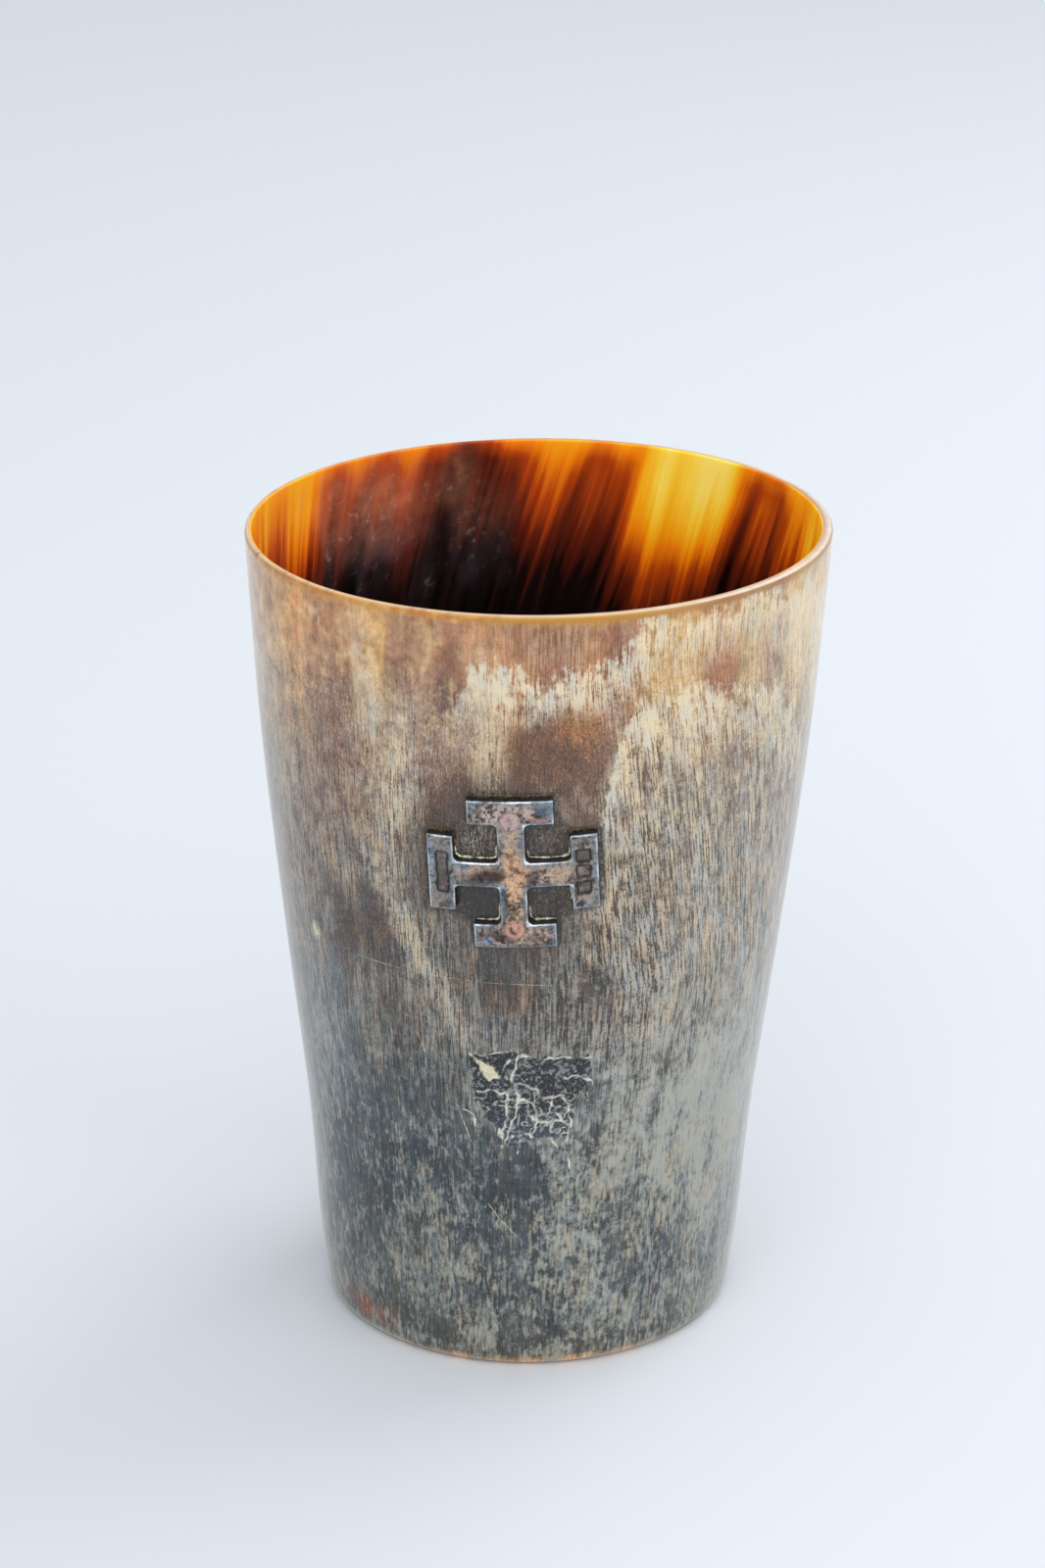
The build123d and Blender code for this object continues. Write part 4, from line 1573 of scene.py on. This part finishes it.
# %% Outline of the film and paths of its ridges
FILM_EDGE = [
    (-10.2, 48.2), (0.4, 48.9), (3, 48.2), (12, 48), (18, 47.9), (18.3, 44), (15.4, 41.5), (14.4, 38),
    (13.4, 34.6), (8, 35.6), (3, 34.2), (-2, 33.8), (-4, 36), (-6.5, 38.5), (-8.8, 41.5),
]
FLAKE_EDGE = [(-9.9, 48.3), (-7.2, 47.2), (-4.4, 46.3), (-3.3, 45), (-5.2, 44.4), (-7, 45.3), (-7.6, 46.6)]
FILM_RIDGES = [
    [(-10, 48.2), (-5.5, 48.4), (0.4, 49.1), (2.9, 48.2), (6.2, 47.8), (12, 47.9), (18, 47.8)],
    [(2, 49), (0.4, 46.4), (0.2, 44), (-0.9, 42.6), (-0.9, 39.4), (-2.1, 37.2), (-2.5, 34.5)],
    [(-8, 42.6), (-5, 42.9), (-1.3, 42.6), (0.4, 43.7), (2.9, 44.1)],
    [(0.4, 43.7), (1.6, 41.8), (0.8, 39.9), (-0.2, 37.2), (-2.1, 34.4)],
    [(2.9, 44.1), (5.8, 42.9), (7.8, 42), (11.6, 42.4), (13.2, 40.2), (13.7, 38.3), (13.2, 34.5),
     (14.3, 30.2)],
    [(12, 45.1), (14.5, 44.9), (17.4, 44.7), (18.6, 43.7), (17.8, 41.6)],
    [(2, 41.8), (4.5, 41.5), (6.6, 39.7), (8.2, 39.2)],
    [(4.5, 39.1), (7, 38.3), (12.8, 38.3)],
    [(10.5, 39.5), (13, 37.6)],
    [(6, 39.8), (5.4, 37.2), (2.2, 35.4), (1.4, 33.6)],
    [(9.4, 38.2), (9, 36.2), (10.8, 34.4)],
    [(-11.8, 39.6), (-9.4, 38.8), (-9.2, 37)],
    [(-0.9, 47.6), (-2.4, 46.2), (-1.2, 44.8)],
]
MM_PER_DEGREE = 0.567  # along the wall at the height of the film


def segments_of(path, closed=False):
    """Pair the points of a path, in millimetres along and up the wall."""
    flat = [np.array([degrees * MM_PER_DEGREE, height]) for degrees, height in path]
    return list(zip(flat, flat[1:] + flat[:1])) if closed else list(zip(flat, flat[1:]))


def segment_distance(points, start, end):
    """Distance from points to one straight piece of a path."""
    along_it = np.clip((points - start) @ (end - start) / np.sum((end - start) ** 2), 0, 1)
    return np.linalg.norm(points - start - along_it[:, None] * (end - start), axis=1)


def path_distance(points, path):
    """Distance from points to a path."""
    return np.min([segment_distance(points, *piece) for piece in segments_of(path)], axis=0)


def outline_distance(points, corners):
    """Distance from points to a closed outline, below zero inside it."""
    pieces = segments_of(corners, closed=True)
    nearest = np.min([segment_distance(points, *piece) for piece in pieces], axis=0)
    inside = np.zeros(len(points), dtype=bool)
    for start, end in pieces:
        spans = (start[1] > points[:, 1]) != (end[1] > points[:, 1])
        rise = np.where(end[1] == start[1], 1e-9, end[1] - start[1])
        crossing = start[0] + (points[:, 1] - start[1]) * (end[0] - start[0]) / rise
        inside ^= spans & (points[:, 0] < crossing)
    return np.where(inside, -nearest, nearest)


def film_lattice(cell, seed):
    """Soft random values over the film."""
    return lattice(film_noise, (cell, cell, 1), seed)


film_round = np.arange(-13.0, 20.5, 0.24)
film_up = np.arange(29.5, 50.3, 0.14)
film_degrees, film_heights = (grid.ravel() for grid in np.meshgrid(film_round, film_up))
film_flat = np.stack([film_degrees * MM_PER_DEGREE, film_heights], axis=1)
film_noise = np.column_stack([film_flat, np.zeros(len(film_flat))])
torn = outline_distance(film_flat, FILM_EDGE) + 0.45 * film_lattice(0.9, 61)
torn += 0.2 * film_lattice(0.35, 62)
torn += ease(40, 35, film_heights) * (0.5 + 0.9 * film_lattice(1.4, 72))
flake_edge = outline_distance(film_flat, FLAKE_EDGE) + 0.2 * film_lattice(0.5, 63)
flake = ease(0.15, -0.15, flake_edge)
print("film grid has", len(film_flat), "points")

# %% Lift and colour of the film
RIDGE_WIDE = 0.15
FILM_SUNK = -0.18

jitter = np.stack([film_lattice(0.8, seed) for seed in (64, 65)], axis=1)
ridge_wide = RIDGE_WIDE * (1.15 + 0.75 * film_lattice(1.3, 70))
broken = np.clip(0.75 + 0.6 * film_lattice(0.9, 66), 0, 1)
crazing = np.abs(lattice(film_noise + 0.5 * film_noise[:, ::-1], (1.5, 1.5, 1), 71))
ridge = 0.9 * ease(0.09, 0.0, crazing) * ease(45, 41, film_heights) * ease(0.3, -0.3, torn)
for path in FILM_RIDGES:
    from_path = path_distance(film_flat + 0.3 * jitter, path) / ridge_wide
    ridge = np.maximum(ridge, broken * np.exp(-(from_path**2)))
film_lift = FILM_SUNK + np.maximum(0.24 * ease(0.2, -0.2, torn), 0.26 * ease(0.15, 0.6, ridge))
film_lift += 0.14 * ridge + 0.08 * flake + 0.03 * film_lattice(0.5, 67)
film_crumbs = ease(0.25, 0.6, film_lattice(0.32, 68) + 0.4 * film_lattice(1.6, 69))
film_paint = np.tile(linear((30, 28, 36)), (len(film_flat), 1))
film_paint = tint(film_paint, (52, 64, 76), ease(42, 35, film_heights))
film_paint = tint(film_paint, (150, 154, 152), 0.6 * film_crumbs)
film_paint = tint(film_paint, (222, 220, 206), np.clip(1.4 * ridge - 0.2, 0, 1))
film_paint = tint(film_paint, (222, 212, 182), 0.95 * flake)
print("film stands up to", film_lift.max().round(2), "mm off the wall")

# %% Close the film
FILM_ROOT = -0.35

shown = (torn < 0.35) | (ridge > 0.12)
film_rows, film_columns = len(film_up), len(film_round)
top_faces = []
for film_row in range(film_rows - 1):
    for film_column in range(film_columns - 1):
        first = film_row * film_columns + film_column
        corners = (first, first + 1, first + film_columns + 1, first + film_columns)
        if all(shown[corner] for corner in corners):
            top_faces.append(corners)
film_top = [on_wall(*spot) for spot in zip(film_degrees, film_heights, film_lift)]
film_under = [on_wall(*spot, FILM_ROOT) for spot in zip(film_degrees, film_heights)]
under = len(film_top)
faces = top_faces + [tuple(corner + under for corner in reversed(face)) for face in top_faces]
ways = {(face[step], face[(step + 1) % 4]) for face in top_faces for step in range(4)}
faces += [(end, start, start + under, end + under) for start, end in ways if (end, start) not in ways]
film = mesh_of("dried_film", film_top + film_under, faces=faces)
paint(film, "film", np.tile(film_paint, (2, 1)), "FLOAT_COLOR")
shell = bmesh.new()
shell.from_mesh(film)
bmesh.ops.delete(shell, geom=[point for point in shell.verts if not point.link_faces], context="VERTS")
shell.to_mesh(film)
shell.free()
film.shade_smooth()
print("film has", len(film.polygons), "faces")

# %% The film's finish
film_finish = bpy.data.materials.new("dried film")
finish, shader = open_finish(film_finish)
crumbs = crumbs_in(finish, 4.5, 3.0, 0.7)
patchy = finish.spread(crumbs, 0.3, 0.7, 0.55, 1.4)
crumb_share = finish.spread(crumbs, 0.59, 0.67, 0.0, 0.7)
film_tone = finish.blend(1.0, finish.attribute("film", "Color"), patchy, "MULTIPLY")
finish.fill(
    shader,
    {
        "Base Color": finish.blend(crumb_share, film_tone, colour(184, 186, 180)),
        "Roughness": finish.spread(crumbs, 0.3, 0.7, 0.35, 0.6),
        "Normal": uneven(finish, crumbs, 0.4, 0.05),
    },
)
film.materials.append(film_finish)
add_piece("dried_film", film, "horn")
print("film finish has", len(finish.tree.nodes), "nodes")

# %% [markdown]
# Polish left in the corners round the cross has dried to cream lines, and the
# horn has a few pale cracks and scratches. All of them are thin uneven beads
# along a path, so one tree makes them: it evens out the path's points, gives
# each a lumpy radius that thins out at the ends, and sweeps a small circle.

# %% Geometry Nodes tree for a bead along a path
beading, given, result = new_tree(
    "bead along a path",
    "GeometryNodeTree",
    [
        ("Paths", "INPUT", "Geometry", None),
        ("Radius", "INPUT", "Float", 0.0002),
        ("Spacing", "INPUT", "Float", 0.0002),
        ("Lump Size", "INPUT", "Float", 0.0008),
        ("Thinnest", "INPUT", "Float", 0.2),
        ("Seed", "INPUT", "Float", 1.0),
        ("Sides", "INPUT", "Int", 7),
        ("Stuff", "INPUT", "Material", None),
        ("Beads", "OUTPUT", "Geometry", None),
    ],
)
line = beading.node("GeometryNodeMeshToCurve", {0: given["Paths"]}).outputs[0]
even = beading.node("GeometryNodeResampleCurve", {"Curve": line, "Length": given["Spacing"]}, mode="LENGTH")
spot = beading.node("GeometryNodeInputPosition").outputs[0]
lump_scale = beading.math("DIVIDE", 1.0, given["Lump Size"])
lumps = beading.node(
    "ShaderNodeTexNoise",
    {"Vector": spot, "W": given["Seed"], "Scale": lump_scale, "Detail": 2.0},
    noise_dimensions="4D",
)
lumpy = beading.spread(lumps.outputs[0], 0.32, 0.68, given["Thinnest"], 1.0)
along_line = beading.node("GeometryNodeSplineParameter").outputs["Factor"]
to_the_end = beading.math("ABSOLUTE", beading.math("MULTIPLY_ADD", along_line, 2.0, -1.0))
taper = beading.math("SUBTRACT", 1.0, beading.math("POWER", to_the_end, 6.0))
thickness = beading.times(lumpy, taper, given["Radius"])
circle = beading.node("GeometryNodeCurvePrimitiveCircle", {"Resolution": given["Sides"], "Radius": 1.0})
sweep = beading.node(
    "GeometryNodeCurveToMesh",
    {"Curve": even.outputs[0], "Profile Curve": circle.outputs[0], "Scale": thickness, "Fill Caps": True},
)
smooth = beading.shape("SetShadeSmooth", sweep.outputs[0])
real = beading.shape("RealizeInstances", smooth)
dressed = beading.shape("SetMaterial", real, {"Material": given["Stuff"]})
beading.set(result["Beads"], dressed)


def lay_beads(name, paths, stuff, **sizes):
    """Lay beads along paths of points in millimetres."""
    points = [point for path in paths for point in path]
    ends = np.cumsum([0] + [len(path) for path in paths])
    edges = [(step, step + 1) for first, last in zip(ends, ends[1:]) for step in range(first, last - 1)]
    source = mesh_of(name + "_paths", points, edges)
    values = {label.replace("_", " ").title(): size for label, size in sizes.items()}
    made = bake_tree(name, source, beading, {**values, "Stuff": stuff})
    add_piece(name, made, "horn")


print("bead tree has", len(beading.tree.nodes), "nodes")

# %% [markdown]
# The cream lines lie in the corners where the wall meets the foot of the metal. Darker lines run along the
# upper edges of the cross: dull old polish, whose dark part is a painted shadow line. Their paths are written
# as places right and up from the middle of the cross.

# %% Old polish round the cross
RESIDUE_PATHS = [
    [(-4.8, 1.92), (-2.6, 1.95), (-2.0, 2.15), (-1.93, 3.8)],
    [(-7.25, 3.4), (-7.2, 2.4), (-6.7, 1.95), (-4.8, 1.9)],
    [(1.95, 3.2), (2.05, 2.1), (4.5, 1.92), (6.6, 1.98), (7.2, 2.3), (7.3, 4.6)],
    [(-5.0, -6.85), (-3.2, -6.85), (-2.1, -6.75), (-1.93, -6.1), (-1.92, -4.4)],
    [(1.93, -4.8), (1.97, -6.4), (2.5, -6.85), (4.4, -6.85), (5.2, -6.9)],
    [(7.25, -2.1), (7.3, -4.4)],
]
# Along the upper edges of the cross: dull old polish with a painted shadow line in its dark part
POLISH_AND_SHADOW_PATHS = [
    [(-6.0, 10.3), (-5.6, 10.65), (-2, 10.7), (2, 10.65), (5.7, 10.65)],
    [(-10.9, 5.3), (-10.4, 5.5), (-7.6, 5.5)],
    [(7.5, 5.5), (10.6, 5.5)],
    [(-5.7, 7.2), (-5.75, 9.8)],
]


def powder(name, pale_rgb, dark_rgb):
    """A dull crumbly stuff in two colours."""
    stuff = bpy.data.materials.new(name)
    graph, principled = open_finish(stuff)
    grains = crumbs_in(graph, 3.5, 3.0, 0.7)
    share = graph.spread(grains, 0.38, 0.6)
    graph.fill(
        principled,
        {
            "Base Color": graph.blend(share, colour(*dark_rgb), colour(*pale_rgb)),
            "Roughness": graph.spread(grains, 0.3, 0.7, 0.55, 0.8),
            "Normal": uneven(graph, grains, 0.5, 0.06),
        },
    )
    return stuff


cream = powder("dried polish", (246, 240, 214), (128, 116, 84))
polish_and_shadow = powder("dull old polish and painted shadow", (128, 106, 62), (34, 29, 22))
lay_beads(
    "dried_polish",
    [[by_cross(*place, 0.02) for place in path] for path in RESIDUE_PATHS],
    cream,
    radius=0.00026,
    thinnest=0.05,
    lump_size=0.0007,
    seed=3.0,
)
lay_beads(
    "dull_polish",
    [[by_cross(*place, -0.02) for place in path] for path in POLISH_AND_SHADOW_PATHS],
    polish_and_shadow,
    radius=0.00022,
    seed=5.0,
)
print("lines of polish:", len(RESIDUE_PATHS) + len(POLISH_AND_SHADOW_PATHS))

# %% [markdown]
# Drying has split the horn in three places, and the splits have filled with
# chalk. Handling has left three fine scratches. Places are (degrees, height).

# %% Cracks and scratches
CRACKS = [
    [(-22.8, 50.6), (-22.2, 49.6), (-21.4, 48.6), (-20.6, 47.0)],
    [(-13.6, 40.6), (-12.6, 39.0), (-11.4, 37.0), (-9.8, 34.4)],
    [(-6.6, 25.8), (-4.8, 24.6), (-3.4, 23.4), (-1, 22.0), (1.6, 20.4)],
]
SCRATCHES = [
    [(-42.3, 105.6), (-38, 105.5), (-34, 105.3), (-30, 105.2)],
    [(degrees, 59.5 - 0.012 * (degrees + 50)) for degrees in range(-50, 24, 2)],
    [(-50, 97.5), (-49, 95.5), (-47.6, 93.8)],
]
crack_chalk = powder("chalky crack", (206, 200, 178), (150, 144, 124))
lay_beads(
    "chalky_cracks",
    [[on_wall(*place, -0.02) for place in path] for path in CRACKS],
    crack_chalk,
    radius=0.00011,
    seed=7.0,
)
lay_beads(
    "fine_scratches",
    [[on_wall(*place, -0.012) for place in path] for path in SCRATCHES],
    crack_chalk,
    radius=0.00005,
    thinnest=0.05,
    lump_size=0.003,
    seed=9.0,
)
print("cracks and scratches:", len(CRACKS) + len(SCRATCHES))

# %% [markdown]
# The cup stands on a pale table that runs out of the picture on every side, so
# no horizon shows. Three soft boxes light it, the strongest from the front, and
# a pale cool sky fills the shadows.

# %% Table, light and world
TABLE_HALF = 12
TABLE_WHITE = (230, 234, 240)
SKY_COLOUR = (0.94, 0.97, 1.0, 1.0)
SKY_STRENGTH = 0.74

table_mesh = bpy.data.meshes.new("table")
table_corners = [(TABLE_HALF * x, TABLE_HALF * y, 0) for x, y in ((-1, -1), (1, -1), (1, 1), (-1, 1))]
table_mesh.from_pydata(table_corners, [], [(0, 1, 2, 3)])
table = into_scene("table", table_mesh)
table_white = bpy.data.materials.new("cool white table")
finish, shader = open_finish(table_white)
finish.fill(shader, {"Base Color": colour(*TABLE_WHITE), "Roughness": 0.6})
table_mesh.materials.append(table_white)


def lamp(name, place, aim, size, power):
    """Hang a square soft box at a place in metres and turn it to an aim."""
    data = bpy.data.lights.new(name, "AREA")
    data.size = size
    data.energy = power
    box = into_scene(name, data)
    box.location = place
    box.rotation_euler = (Vector(aim) - Vector(place)).to_track_quat("-Z", "Y").to_euler()


lamp("window", (0.5, 0.45, 0.7), (0, 0, 0.06), 0.6, 2.6)
lamp("front", (-0.1, -0.9, 0.75), (0, -0.1, 0.03), 0.8, 3.2)
lamp("side", (0.75, -0.55, 0.6), (0, 0, 0.05), 0.8, 2.2)
world = bpy.data.worlds.new("studio")
world.use_nodes = True
sky = world.node_tree.nodes["Background"]
Graph(world.node_tree).fill(sky, {"Color": SKY_COLOUR, "Strength": SKY_STRENGTH})
bpy.context.scene.world = world
print("lamps:", [light.name for light in bpy.data.lights])
